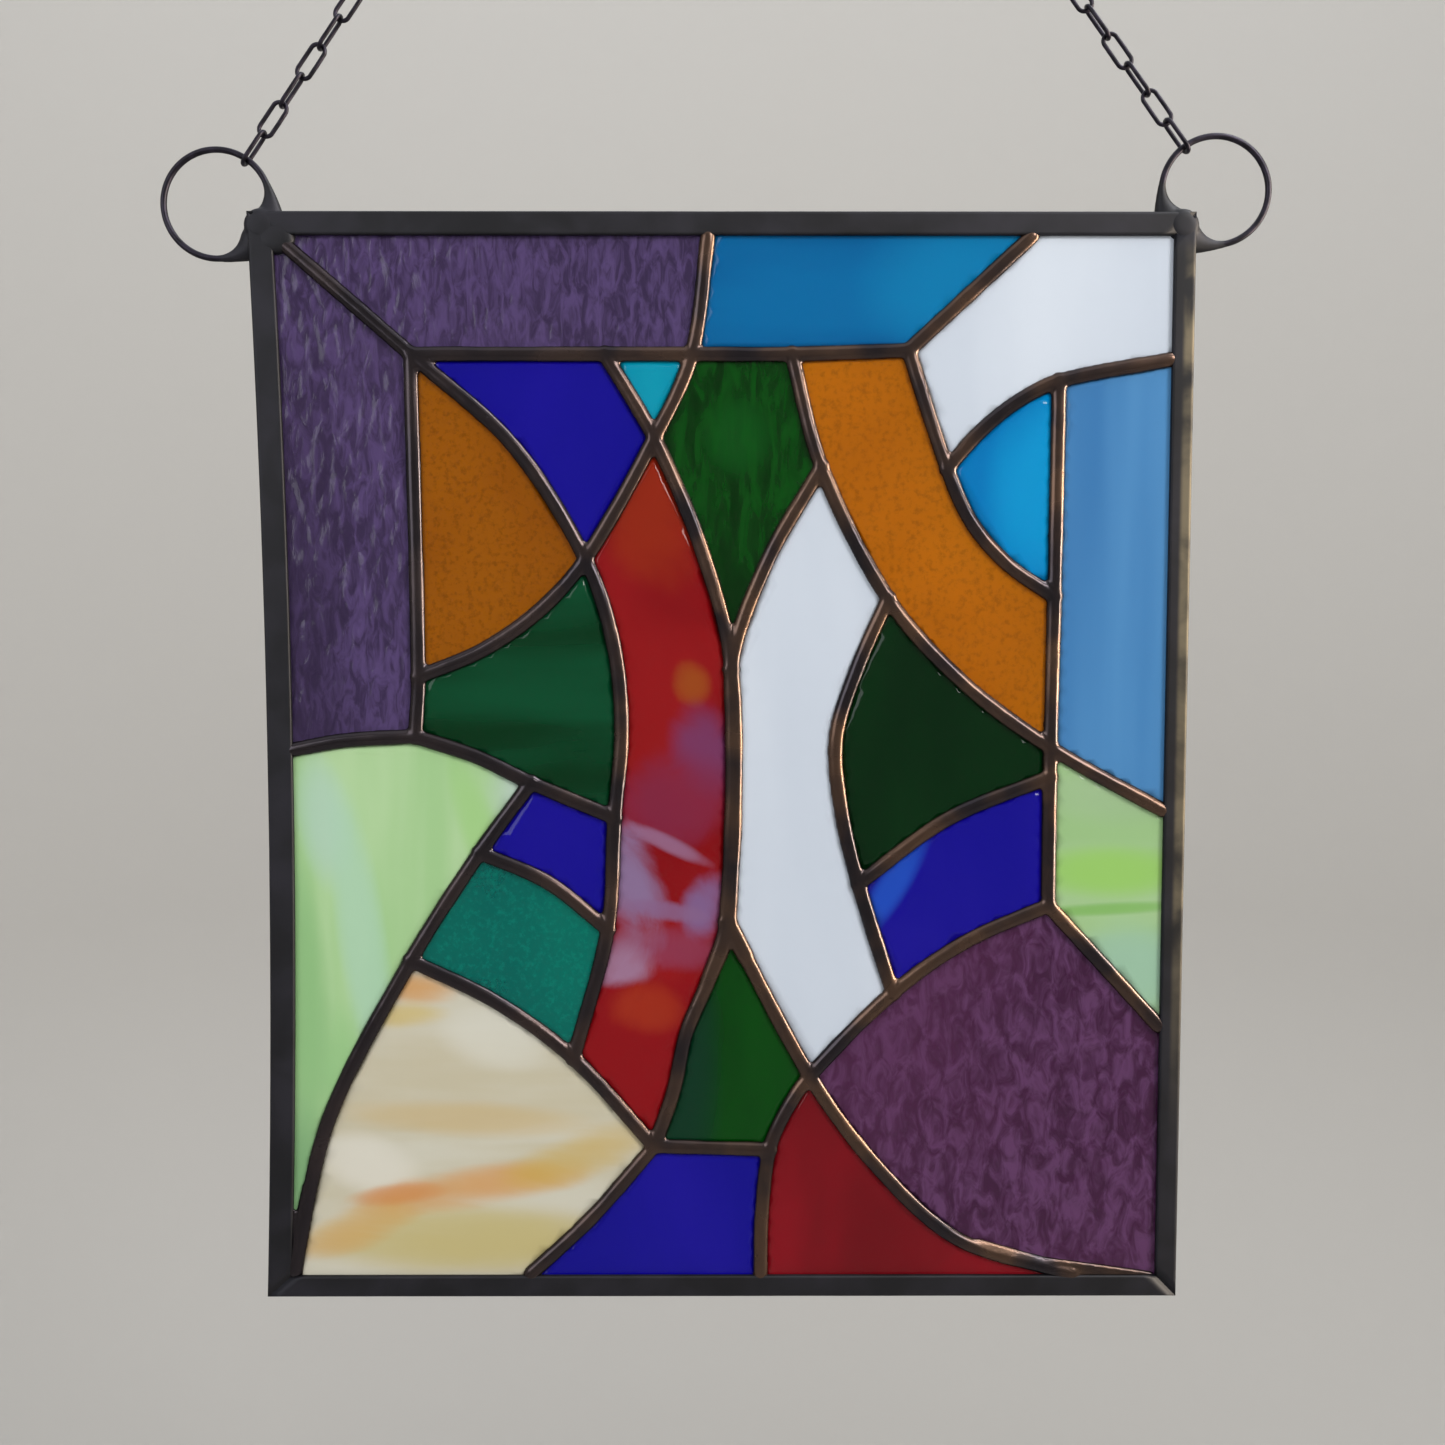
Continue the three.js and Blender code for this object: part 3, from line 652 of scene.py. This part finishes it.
def crown_lines(links):
    lines, seen = [], set()
    for start, others in links.items():
        if len(others) == 2:
            continue
        for step in others:
            if (start, step) in seen:
                continue
            line = [start, step]
            while len(links[line[-1]]) == 2:
                line.append(next(i for i in links[line[-1]] if i != line[-2]))
            seen.update([(start, step), (line[-1], line[-2])])
            lines.append(line)
    return lines


POINTS, LINKS = crown_graph()
LINES = crown_lines(LINKS)
print(len(LINES), "stretches of seam and", sum(len(o) > 2 for o in LINKS.values()), "joints")


# %% [markdown]
# ## Smooth curves through the crown points
# The frame's curves are made of short straight facets. A Catmull-Rom curve goes through the
# same points with no corners. Where a seam runs on over a joint, the next point beyond the
# joint is used too, so that the bend doesn't break there.


# %% Smooth lines
STRAIGHT_ON = 0.93  # cosine of the sharpest turn that still counts as the same seam
LAP = 0.3 * MM


def beyond(end, before):
    ahead = (POINTS[end] - POINTS[before]).normalized()
    turns = {
        ahead.dot((POINTS[i] - POINTS[end]).normalized()): i for i in LINKS[end] if i != before
    }
    if turns and max(turns) > STRAIGHT_ON:
        return POINTS[turns[max(turns)]]
    return 2 * POINTS[end] - POINTS[before]


def smooth_line(line, step):
    knots = [beyond(line[0], line[1]), *(POINTS[i] for i in line), beyond(line[-1], line[-2])]
    out = []
    for a, b, c, d in zip(knots, knots[1:], knots[2:], knots[3:]):
        span = (c - b).length
        start = (c - a) * (span / max((b - a).length + span, 1e-6))
        end = (d - b) * (span / max((d - c).length + span, 1e-6))
        parts = max(1, round(span / step))
        for k in range(parts):
            t = k / parts
            out.append(
                b * (2 * t**3 - 3 * t**2 + 1) + start * (t**3 - 2 * t**2 + t)
                + c * (3 * t**2 - 2 * t**3) + end * (t**3 - t**2)
            )
    return [*out, knots[-2]]


def lap_over_came(curve, line):
    """A seam that ends at the came is drawn out a little, over the lip."""
    if len(LINKS[line[0]]) == 1:
        curve.insert(0, curve[0] + (curve[0] - curve[1]).normalized() * LAP)
    if len(LINKS[line[-1]]) == 1:
        curve.append(curve[-1] + (curve[-1] - curve[-2]).normalized() * LAP)
    return curve


SEAMS = [lap_over_came(smooth_line(line, 1.5 * MM), line) for line in LINES]
RUN_OF_SEAM = sum((b - a).length for s in SEAMS for a, b in zip(s, s[1:]))
print("solder to run:", round(RUN_OF_SEAM, 2), "m a side")


# %% [markdown]
# ## A small language for Geometry Nodes
# `Tree` builds one node tree. The sizes given to it become named inputs, and `grow` puts the
# tree on an object, sets each input by its identifier and takes the result as a plain mesh.
# Sums in it work as they do in the materials, with numbers that differ from point to point.


# %% Geometry Nodes helpers
class Tree(Nodes):
    def __init__(self, name, **sizes):
        self.tree = bpy.data.node_groups.new(name, "GeometryNodeTree")
        interface = self.tree.interface
        interface.new_socket("Geometry", in_out="INPUT", socket_type="NodeSocketGeometry")
        interface.new_socket("Geometry", in_out="OUTPUT", socket_type="NodeSocketGeometry")
        self.values = {}
        for label, value in sizes.items():
            kind = "NodeSocketInt" if isinstance(value, int) else "NodeSocketFloat"
            label = label.replace("_", " ")
            socket = interface.new_socket(label, in_out="INPUT", socket_type=kind)
            self.values[socket.identifier] = value
        self.start = self.tree.nodes.new("NodeGroupInput")

    def geometry(self, kind, sockets):
        return self.node("GeometryNode" + kind, sockets).socket

    def size(self, label):
        return Value(self, self.start.outputs[label])

    def attribute(self, name):
        return self.node("GeometryNodeInputNamedAttribute", {"Name": name})

    def parts(self):
        return self.split(self.geometry("InputPosition", {}))

    def vector(self, x, y, z):
        return self.node("ShaderNodeCombineXYZ", (x, y, z)).socket

    def cloud(self, scale, seed):
        sockets = {"W": seed, "Scale": scale, "Detail": 2.0}
        return self.node("ShaderNodeTexNoise", sockets, noise_dimensions="4D")

    def join(self, *shapes):
        joined = self.tree.nodes.new("GeometryNodeJoinGeometry")
        for shape in shapes:
            self.tree.links.new(shape, joined.inputs[0])
        return joined.outputs[0]

    def end(self, shape, material):
        real = self.geometry("RealizeInstances", {"Geometry": shape})
        dressed = self.geometry("SetMaterial", {"Geometry": real, "Material": material})
        self.tree.links.new(dressed, self.tree.nodes.new("NodeGroupOutput").inputs[0])

    def grow(self, obj):
        modifier = obj.modifiers.new(self.tree.name, "NODES")
        modifier.node_group = self.tree
        for identifier, value in self.values.items():
            modifier[identifier] = value
        return settle(obj)


# %% [markdown]
# ## Solder beads
# Molten solder stands up over the foil in a round crown, wider where it pooled at a joint.
# The tree sweeps a circle along each seam, widens and narrows it a little by noise, and sets a
# drop at each joint. Then it flattens what would lie in the glass. The bodies overlap, so they
# are melted into one skin, as the real ones were. The back gets the same with a lower crown.
# In the middle of the panel two seams run side by side, as one bead a fifth wider.


# %% Geometry Nodes tree of the beads
SUNK = 0.1  # what is left of a bead's round underside, as a share of its depth
BEAD_LIMIT = BEAD_TOP - 0.02 * MM


def bead_tree(name, side, half, rise, foot, wobble, seed):
    t = Tree(name, Half_Width=half, Rise=rise, Foot=foot, Wobble=wobble, Seed=seed)
    uneven = t.cloud(95.0, t.size("Seed"))
    wide = t.attribute("wide") * t.size("Half Width")
    radius = wide * (1.0 + (uneven - 0.5) * t.size("Wobble"))
    curve = t.geometry("MeshToCurve", {"Mesh": t.start.outputs[0]})
    ring = t.geometry("CurvePrimitiveCircle", {"Resolution": 14, "Radius": 1.0})
    sweep = {"Curve": curve, "Profile Curve": ring, "Scale": radius, "Fill Caps": True}
    bead = t.geometry("CurveToMesh", sweep)
    ball = t.geometry("MeshIcoSphere", {"Radius": 1.0, "Subdivisions": 3})
    drop = t.attribute("drop")
    ends = {"Mesh": t.start.outputs[0], "Selection": drop.maths("GREATER_THAN", 0.1)}
    size = drop * t.size("Half Width")
    dots = {"Points": t.geometry("MeshToPoints", ends), "Scale": t.vector(size, size, size)}
    drops = t.geometry("InstanceOnPoints", {"Instance": ball, **dots})
    both = t.join(bead, t.geometry("RealizeInstances", {"Geometry": drops}))
    x, y, z = t.parts()
    out = y * float(side)
    lump = (t.cloud(300.0, t.size("Seed")) - 0.55) * t.size("Wobble") * 0.5 * t.size("Rise")
    height = out.maths("MAXIMUM", 0.0) * (1 / half)
    level = height * t.size("Rise") + lump * height + out.maths("MINIMUM", 0.0) * SUNK
    level = (level + t.size("Foot")).maths("MINIMUM", BEAD_LIMIT) * float(side)
    both = t.geometry("SetPosition", {"Geometry": both, "Position": t.vector(x, level, z)})
    t.end(both, SOLDER)
    return t


print("a bead may rise to", round(BEAD_LIMIT / MM, 2), "mm from the middle of the glass")


# %% Lines with their widths, as a mesh of edges
JOINT_DROP, END_DROP = 1.14, 0.97  # size of a drop, as a share of the bead's width


def merged_width(place):
    across, up = (place.x - MIDDLE.x) / MM, (place.z - MIDDLE.z) / MM
    if abs(across + 1) > 8:
        return 1.0
    return 1.0 + 0.2 * min(1.0, max(0.0, (30 - up) / 12)) * min(1.0, max(0.0, (up + 62) / 12))


def seam_wires(drop_size):
    points, edges, wide, drops = [], [], [], []
    for seam, line in zip(SEAMS, LINES):
        first = len(points)
        points += seam
        edges += [(first + i, first + i + 1) for i in range(len(seam) - 1)]
        wide += [merged_width(place) for place in seam]
        drops += [0.0] * len(seam)
        for place, end in ((first, line[0]), (len(points) - 1, line[-1])):
            share = JOINT_DROP if len(LINKS[end]) > 1 else END_DROP
            drops[place] = wide[place] * share * drop_size
    mesh = bpy.data.meshes.new("seam_wires")
    mesh.from_pydata([tuple(p) for p in points], edges, [])
    for name, values in (("wide", wide), ("drop", drops)):
        mesh.attributes.new(name, "FLOAT", "POINT").data.foreach_set("value", values)
    return add_object("seam_wires", mesh)


# %% [markdown]
# ## Filled corners
# Where two seams meet the came at a very sharp angle, the gap was too small for glass and was
# filled with solder, up to just under the came's face. The corners of each filled place are
# given in millimetres right of and above the middle of the panel.


# %% Filled corners
FILL_FOOT, FILL_TOP = 0.2 * MM, 2.3 * MM
FILLS = {
    "left": [(-118.8, -111), (-117.2, -124.5), (-115, -115), (-113.9, -121), (-114.4, -133),
             (-115.4, -140.8), (-119.4, -140.8)],
    "right": [(70, -130.5), (80, -133.4), (89.4, -136.0), (103.5, -137.9), (118.9, -140.1),
              (118.9, -141.2), (96, -141.2), (80, -136.8)],
}


def fill(corners, side):
    """A flat block of solder on one side of the panel."""
    place = [MIDDLE + Vector((x, 0, z)) * MM for x, z in corners]
    points = [(p.x, side * deep, p.z) for deep in (FILL_FOOT, FILL_TOP) for p in place]
    return lofted("fill", points, len(place))


print(len(FILLS), "filled corners")

# %% Front and back beads
HALF_WIDTH = 2.2 * MM
FOOT = GLASS_HALF - 0.05 * MM
FRONT_RISE = BEAD_TOP - FOOT - 0.05 * MM
BACK_RISE = 1.35 * MM
BEADS = ("front", -1, FRONT_RISE, 1.0, 0.22), ("back", 1, BACK_RISE, 0.9, 0.16)
for label, side, rise, drop_size, wobble in BEADS:
    tree = bead_tree("beads_" + label, side, HALF_WIDTH, rise, FOOT, wobble, 3 - side)
    beads = tree.grow(seam_wires(drop_size))
    beads.name = "solder_" + label
    fills = [fill(corners, side) for corners in FILLS.values()]
    beads = melt(joined(beads, *fills), 0.5 * MM, 4, 0.45)
    beads.data.materials.clear()
    beads.data.materials.append(SOLDER)
    finish_piece(smooth(beads), "solder_seams")


# %% [markdown]
# ## The heart of the seams
# Between the edges of the glass the solder went through, from bead to bead. A thin wall along
# each seam stands for it, and stops light between the pieces.


# %% Heart
HEART_HALF = 0.5 * MM


def wall(line):
    points, deep = [], Vector((0, GLASS_HALF, 0))
    for p, across in zip(line, asides(line)):
        aside = across * HEART_HALF
        points += [p + aside - deep, p - aside - deep, p - aside + deep, p + aside + deep]
    return lofted("wall", points, 4)


half_as_fine = (seam[::2] + [seam[-1]] * (len(seam) % 2 == 0) for seam in SEAMS)
heart = turn_faces_out(joined(*map(wall, half_as_fine)))
heart.name = "solder_heart"
heart.data.materials.append(SOLDER)
finish_piece(heart, "solder_seams")


# %% [markdown]
# ## Came
# The edge of the panel sits in U-shaped came, cut at 45 degrees at the corners. Its soft metal
# was rolled with round edges, which is where it catches the light. The section is drawn flat,
# its corners are rounded, and it is carried along each side in short steps, so that it can
# waver a little and follow the left side, which is pressed in.


# %% Came section
def rounded(corners, steps=4):
    """Rounds each corner of a closed outline. A corner is x, y and its radius."""
    out = []
    for i, (x, y, radius) in enumerate(corners):
        here = Vector((x, y))
        if not radius:
            out.append(here)
            continue
        back = (Vector(corners[i - 1][:2]) - here).normalized() * radius + here
        on = (Vector(corners[(i + 1) % len(corners)][:2]) - here).normalized() * radius + here
        for k in range(steps + 1):
            t = k / steps
            out.append(back * (1 - t) ** 2 + here * 2 * t * (1 - t) + on * t**2)
    return out


def came_section(face):
    top, lip, wall_in = CAME_HALF, GLASS_HALF + 0.02 * MM, 1.2 * MM
    front = top - 0.15 * MM  # the solder on the corners stands on the front
    r, s, b = 1.0 * MM, 0.75 * MM, 0.2 * MM
    return rounded(
        [(0, -front, r), (face, -front, s), (face, -lip, b), (wall_in, -lip, 0)]
        + [(wall_in, lip, 0), (face, lip, b), (face, top, s), (0, top, r)]
    )


def left_bow(up):
    """How far the left side is pressed in at a height from 0 to 1."""
    return LEFT_BOW * 4 * up * (1 - up)


# %% Four lengths of came
STATION, WAVER = 4 * MM, 0.12 * MM


def came_rail(side):
    along_x = side in ("top", "bottom")
    length = WIDTH if along_x else HEIGHT
    before, after = ("left", "right") if along_x else ("bottom", "top")
    section, face = came_section(FACE[side]), FACE[side]
    stations = round(length / STATION)
    points = []
    for k in range(stations + 1):
        share = k / stations
        for s in section:
            low, high = s.x * FACE[before] / face, length - s.x * FACE[after] / face
            at = low + (high - low) * share
            waver = WAVER * noise.noise((at * 45, s.x * 90, len(side) * 3.7))
            waver *= math.sin(math.pi * share) * (0.0 if s.y > 0 else 1.0)
            deep = s.y + max(0.0, waver)
            inward = s.x + (left_bow(share) if side == "left" else 0.0)
            if along_x:
                x = PANEL_LEFT + at
                z = PANEL_TOP - inward if side == "top" else PANEL_FOOT + inward
            else:
                x = PANEL_LEFT + inward if side == "left" else PANEL_RIGHT - inward
                z = PANEL_FOOT + at
            points.append((x, deep, z))
    rail = lofted("rail_" + side, points, len(section), CAME)
    rail.modifiers.new("flats", "WEIGHTED_NORMAL").keep_sharp = True
    return settle(smooth(rail))


for side in ("top", "bottom", "left", "right"):
    finish_piece(came_rail(side), "came_" + side)

# %% [markdown]
# ## Rings and the solder that holds them
# Each upper corner has a ring of wire. Its two ends run into the came, one on top and one at
# the side, in smooth cones of solder, and more solder was melted over the corner itself.

# %% Ring sizes
RING_R, RING_WIRE = 14.12 * MM, 0.85 * MM
RING_LAP, RING_STEPS = 0.04, 90  # the wire's ends run on into the came by this angle
# Side, and how far the ring's middle lies outside and above the panel's corner.
RINGS = {"left": (-1, 8.3 * MM, 2.3 * MM), "right": (1, 5.4 * MM, 6.0 * MM)}


def ring_place(label):
    side, out, up = RINGS[label]
    corner = Vector((PANEL_LEFT if side < 0 else PANEL_RIGHT, 0, PANEL_TOP))
    centre = corner + Vector((side * out, 0, up))
    on_top = Vector((centre.x - side * math.sqrt(RING_R**2 - up**2), 0, corner.z))
    on_side = Vector((corner.x, 0, centre.z - math.sqrt(RING_R**2 - out**2)))
    return side, corner, centre, on_top, on_side


# %% Ring wire
def swept(name, line, sizes, around, material=None):
    """A round body along a line in the plane of the panel, of a width and depth at each point."""
    points = []
    for centre, aside, (wide, deep) in zip(line, asides(line), sizes):
        for k in range(around):
            a = 2 * math.pi * k / around
            points.append(centre + aside * wide * math.cos(a) + Vector((0, deep * math.sin(a), 0)))
    return lofted(name, points, around, material)


def ring_line(label):
    side, _, centre, *feet = ring_place(label)
    end, start = (math.atan2(p.z - centre.z, side * (p.x - centre.x)) for p in feet)
    end += 2 * math.pi * (end < start)
    angles = np.linspace(start - RING_LAP, end + RING_LAP, RING_STEPS)
    return [centre + RING_R * Vector((side * math.cos(a), 0, math.sin(a))) for a in angles]


for label in RINGS:
    sizes = [(RING_WIRE, RING_WIRE)] * RING_STEPS
    wire = smooth(swept("ring_wire_" + label, ring_line(label), sizes, 12, WIRE))
    finish_piece(wire, "ring_" + label)


# %% Cones and corner solder
CONE_STEPS, CONE_FOOT = 13, 1.3 * MM
CONE_ON_TOP, CONE_AT_SIDE, CONE_DEEP = 4.6 * MM, 4.8 * MM, 2.7 * MM
PAD_DEEP, PAD_BACK = BEAD_TOP - 0.03 * MM, CAME_HALF - 0.06 * MM
# In millimetres: right of and above the corner, half width and half height. On the left a seam
# runs into the corner, and solder pooled round its end too.
PADS = {"left": [(3.4, -3.4, 4.4, 4.4), (7.4, -7.0, 5.2, 4.2)], "right": [(-3.4, -3.4, 4.4, 4.4)]}


def cone(wire, wide, deep):
    """A round heap of solder that thins out along the wire, from inside the came outwards."""
    path = [wire[0] + (wire[0] - wire[1]).normalized() * CONE_FOOT, *wire[:CONE_STEPS]]
    sizes = []
    for i in range(CONE_STEPS + 1):
        share = (1 - i / CONE_STEPS) ** 2.2
        sizes.append([RING_WIRE * 1.02 + (size - RING_WIRE) * share for size in (wide, deep)])
    return swept("cone", path, sizes, 20)


def pad(place, wide, high):
    """A round heap of solder with a flat top."""
    bm = bmesh.new()
    bmesh.ops.create_icosphere(bm, subdivisions=4, radius=1.0)
    for v in bm.verts:
        flat = (1 - (1 - min(v.co.y**2, 1.0)) ** 2) ** 0.25
        out = -flat * PAD_DEEP if v.co.y < 0 else flat * PAD_BACK
        v.co = place + Vector((v.co.x * wide, out, v.co.z * high))
    heap = make("pad", [], [])
    bm.to_mesh(heap.data)
    bm.free()
    return heap


for label in RINGS:
    corner, wire = ring_place(label)[1], ring_line(label)
    heaps = [cone(wire[::-1], CONE_ON_TOP, CONE_DEEP), cone(wire, CONE_AT_SIDE, CONE_DEEP)]
    for x, z, wide, high in PADS[label]:
        heaps.append(pad(corner + Vector((x, 0, z)) * MM, wide * MM, high * MM))
    heap = melt(joined(*heaps), 0.35 * MM, 10, 0.6)
    heap.name = "corner_solder_" + label
    heap.data.materials.append(CAME)
    finish_piece(smooth(heap), "ring_" + label)

# %% [markdown]
# ## Chain
# Each link is a short oval of wire, turned a quarter from the last so that they hook into one
# another. The tree lays the links in a row, turns every other one, gives each a small twist
# and leans the row towards the hook. The top link lies across, and both runs hang in it.

# %% Chain sizes
LINK_WIRE, LINK_SIDE, LINK_END, PITCH = 0.595 * MM, 1.975 * MM, 5.025 * MM, 9.022 * MM
LINKS_A_SIDE = 23
ON_RING = 12.556 * MM  # from a ring's middle to the near end of its first link
TOP_PLACE = (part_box("top_link")[0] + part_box("top_link")[1]) / 2
HOLD = Vector((3.537, 0, -0.15)) * MM  # from the top link's middle to where a run hangs in it
print(2 * LINKS_A_SIDE + 1, "links")


# %% Geometry Nodes tree of the links
def link_tree(name, count, lean, start, turned, seed):
    t = Tree(
        name, Links=count, Pitch=PITCH, Lean=lean, Start_X=start.x, Start_Z=start.z,
        Wire=LINK_WIRE, Link_Side=LINK_SIDE, Link_End=LINK_END, Twist=0.12, Seed=seed,
    )
    line = t.geometry("CurvePrimitiveCircle", {"Resolution": 28, "Radius": t.size("Link Side")})
    flat = t.geometry("Transform", {"Geometry": line, "Rotation": (math.pi / 2, 0, 0)})
    x, y, z = t.parts()
    stretch = (t.size("Link End") - t.size("Link Side")) * z.maths("SIGN")
    oval = t.geometry("SetPosition", {"Geometry": flat, "Offset": t.vector(0.0, 0.0, stretch)})
    ring = t.geometry("CurvePrimitiveCircle", {"Resolution": 8, "Radius": t.size("Wire")})
    link = t.geometry("CurveToMesh", {"Curve": oval, "Profile Curve": ring})
    pitch = t.vector(0.0, 0.0, t.size("Pitch"))
    row = t.geometry("MeshLine", {"Count": t.size("Links"), "Offset": pitch})
    index = t.node("GeometryNodeInputIndex", {})
    quarter = (index + float(turned)).maths("MODULO", 2.0) * (math.pi / 2)
    twist = t.node(
        "FunctionNodeRandomValue",
        {2: t.size("Twist") * -1.0, 3: t.size("Twist"), "Seed": t.size("Seed")}, 1,
    )
    spin = t.vector(0.0, 0.0, quarter + twist)
    chain = t.geometry("InstanceOnPoints", {"Points": row, "Instance": link, "Rotation": spin})
    leaning = t.vector(0.0, t.size("Lean"), 0.0)
    place = t.vector(t.size("Start X"), 0.0, t.size("Start Z"))
    chain = t.geometry("Transform", {"Geometry": chain, "Rotation": leaning, "Translation": place})
    t.end(chain, WIRE)
    return t


def grow_chain(name, node, *settings):
    blank = make(name, [], [])
    chain = turn_faces_out(link_tree("links_" + node, *settings).grow(blank))
    finish_piece(smooth(chain), node)


for label in RINGS:
    side, _, centre, *_ = ring_place(label)
    held = TOP_PLACE + Vector((side * HOLD.x, 0, HOLD.z))
    along = (held - centre).normalized()
    lean = math.atan2(along.x, along.z)
    start = centre + along * (ON_RING + LINK_END)
    grow_chain("chain_run_" + label, "chain_" + label, LINKS_A_SIDE, lean, start, 1, 5 + side)
grow_chain("chain_top_link", "top_link", 1, math.pi / 2, TOP_PLACE, 0, 2)

# %% [markdown]
# ## Studio
# The panel hangs in a round studio: a pale floor that curves up into a pale wall all round, so
# that every side of it has the same plain ground. It is open at the top to the soft sky. Two
# of the lamps shine into metal only: they give its glints and cast no raking light on the glass.


# %% Studio, light and sky
def cove(radius, low, high, bend):
    turns, profile = 72, [(0.0, low)]
    for k in range(11):
        a = math.pi / 2 * k / 10
        profile.append((radius - bend + bend * math.sin(a), low + bend - bend * math.cos(a)))
    profile.append((radius, high))
    angles = [2 * math.pi * t / turns for t in range(turns)]
    points = [(r * math.cos(a), r * math.sin(a), z) for r, z in profile for a in angles]
    faces = []
    for a in range(0, (len(profile) - 1) * turns, turns):
        for t in range(turns):
            u = (t + 1) % turns
            faces.append((a + t, a + turns + t, a + turns + u, a + u))
    return smooth(make("studio_cove", points, faces))


studio = cove(1.6, -1.15, 1.3, 0.5)
paper = Shader("studio_paper")
paper.set(Base_Color=srgb("bbb8b4"), Roughness=0.9)
studio.data.materials.append(paper.material)
studio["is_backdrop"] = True

world = bpy.data.worlds.new("soft_sky")
world.use_nodes = True
sky = world.node_tree.nodes["Background"]
sky.inputs["Color"].default_value = (0.93, 0.97, 1.0, 1)
sky.inputs["Strength"].default_value = 1.36
bpy.context.scene.world = world


def soft_light(name, place, size, power, colour=(1, 1, 1), aim=(0, 0, -0.33), glint=False):
    data = bpy.data.lights.new(name, "AREA")
    data.shape, data.size, data.size_y = "RECTANGLE", *size
    data.energy, data.color = power, colour
    lamp = add_object(name, data)
    lamp.location = place
    lamp.rotation_euler = (Vector(aim) - Vector(place)).to_track_quat("-Z", "Y").to_euler()
    lamp.visible_camera = False
    if glint:
        lamp.visible_diffuse = lamp.visible_transmission = False
    lamp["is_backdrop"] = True


WARM, CLEAR_SKY = (1.0, 0.87, 0.68), (0.93, 0.96, 1.0)
soft_light("strip_right", (0.95, -0.2, -0.25), (0.08, 0.8), 24.0, WARM, glint=True)
soft_light("key_high", (0.7, -0.2, 0.75), (0.45, 0.45), 11.0, (0.97, 0.98, 1.0), glint=True)
soft_light("key_right", (0.9, -0.9, 0.4), (0.5, 0.5), 15.5, (1.0, 0.98, 0.95))
soft_light("fill_left", (-0.9, -1.0, 0.1), (0.8, 0.8), 8.0, CLEAR_SKY)
soft_light("wall_glow", (0.0, 0.75, 0.9), (1.2, 0.5), 3.0, aim=(0, 1.5, -0.5))

# %% [markdown]
# ## The camera
# It stands where the photographer stood: about 40 cm in front of the panel, a little above its
# middle, looking down not quite 4 degrees.

# %% Camera
SENSOR, FOCAL_PIXELS, PICTURE_PIXELS = 36.0, 1500, 1445
LOOK_DOWN, LOOK_ASIDE = 3.66, -0.16
camera_data = bpy.data.cameras.new("camera")
camera_data.lens = SENSOR * FOCAL_PIXELS / PICTURE_PIXELS
camera_data.clip_start = 0.01
camera = add_object("camera", camera_data)
camera.location = MIDDLE + Vector((-0.00097, -0.4044, 0.0375))
camera.rotation_euler = (math.radians(90 - LOOK_DOWN), 0.0, math.radians(LOOK_ASIDE))
bpy.context.scene.camera = camera
bpy.context.scene.view_settings.view_transform = "Standard"
print("lens", round(camera_data.lens, 2), "mm")

# %% Print both boxes
end_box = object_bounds()
sizes = {
    "cad": [[round(c, 6) for c in corner] for corner in start_box],
    "visual": [[round(c, 6) for c in corner] for corner in end_box],
}
print(sizes)
